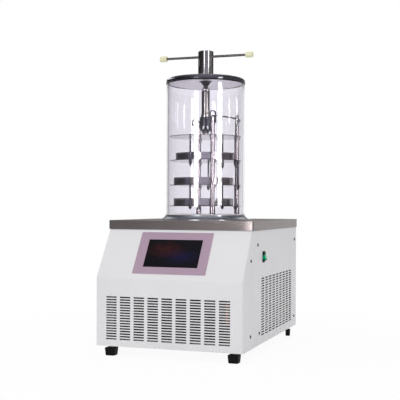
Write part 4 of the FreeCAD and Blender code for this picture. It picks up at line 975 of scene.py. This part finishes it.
# %% [markdown]
# The rocker of the power switch is a bar with two slightly dished faces. Its side view is extruded
# across, and all its edges are eased, so that the light runs along them.
# %% Rocker
PIN = Vector((229.5, -127.0, 298.0))    # the pin it tips on
ROCKER_WIDE = 19.0
side_view = [
    (-5, -7.3), (3, -13.3), (11.3, -12.5), (10.1, -5.0), (9.7, 0.0), (10.1, 5.0), (11.3, 12.5),
    (3, 13.3), (-5, 7.3),
]
bm = bmesh.new()
edge = PIN.y - ROCKER_WIDE / 2
corners = [bm.verts.new((PIN.x + x, edge, PIN.z + z)) for x, z in side_view]
grown = bmesh.ops.extrude_face_region(bm, geom=[bm.faces.new(corners)])
far_side = [g for g in grown["geom"] if isinstance(g, bmesh.types.BMVert)]
bmesh.ops.translate(bm, verts=far_side, vec=(0, ROCKER_WIDE, 0))
bmesh.ops.recalc_face_normals(bm, faces=bm.faces)
rocker = rolled(ease(bm, 0.8, 3, 25), -11, "Y", PIN)
made("rocker", rocker, "power_switch", "switch_rocker", "switch_green")

# %% [markdown]
# The slots in the back are louvres: behind each a strip of the sheet leans inwards, so that air
# passes and nobody looks through. A thin bar, tilted once and copied down the rows, makes them.
# %% Rear louvres
SLOT_ROWS = range(60, 165, 15)
blades = []
for z in SLOT_ROWS:
    bm = bmesh.new()
    bmesh.ops.create_cube(bm, size=1.0)
    bmesh.ops.scale(bm, verts=bm.verts, vec=(119.0, 0.8, 10.5))
    blades.append(moved(rolled(bm, -43, "X"), -136.0, 314.2, z + 1.8))
made("rear_louvres", merged(blades), "cabinet", None, "cover_paint")

# %% [markdown]
# The covers are held by small screws with a domed head and a cross on it. The dome is turned, and
# two small bars mark the cross: cutting it out would cost far more faces for a thing so small.
# Each head is turned a little, as a hand would leave it.
# %% Cover screws


def pan_screw(turn_by):
    """Domed screw head that faces +Z, with a cross on it."""
    dome = turned([
        (0.0, 0.0), (4.9, 0.0), (4.9, 0.9), (4.3, 1.7), (3.0, 2.3), (0.0, 2.3),
    ], steps=24)
    bars = []
    for angle in (0, 90):
        bar = bmesh.new()
        bmesh.ops.create_cube(bar, size=1.0)
        bmesh.ops.scale(bar, verts=bar.verts, vec=(3.6, 0.8, 0.5))
        bars.append(rolled(moved(bar, z=2.2), angle, "Z"))
    return rolled(merged([dome, *bars]), turn_by, "Z")


SIDE_SCREWS = ((-194, 337), (-175, 67), (289, 338), (285, 66), (-269, 292), (-272, 69))
REAR_SCREWS = ((-215, 365), (215, 365), (-215, 45), (215, 45), (0, 365), (0, 45))
SIDE_FACE = 233.5
REAR_FACE = 319.3
heads = []
for i, (y, z) in enumerate(SIDE_SCREWS):
    for side in (-1, 1):
        head = rolled(pan_screw(25 * i + 10 * side), 90 * side, "Y")
        heads.append(moved(head, side * SIDE_FACE, y, z))
for i, (x, z) in enumerate(REAR_SCREWS):
    heads.append(moved(rolled(pan_screw(33 * i), -90, "X"), x, REAR_FACE, z))
made("cover_screws", merged(heads), "cabinet", None, "bright_steel", "screw_steel")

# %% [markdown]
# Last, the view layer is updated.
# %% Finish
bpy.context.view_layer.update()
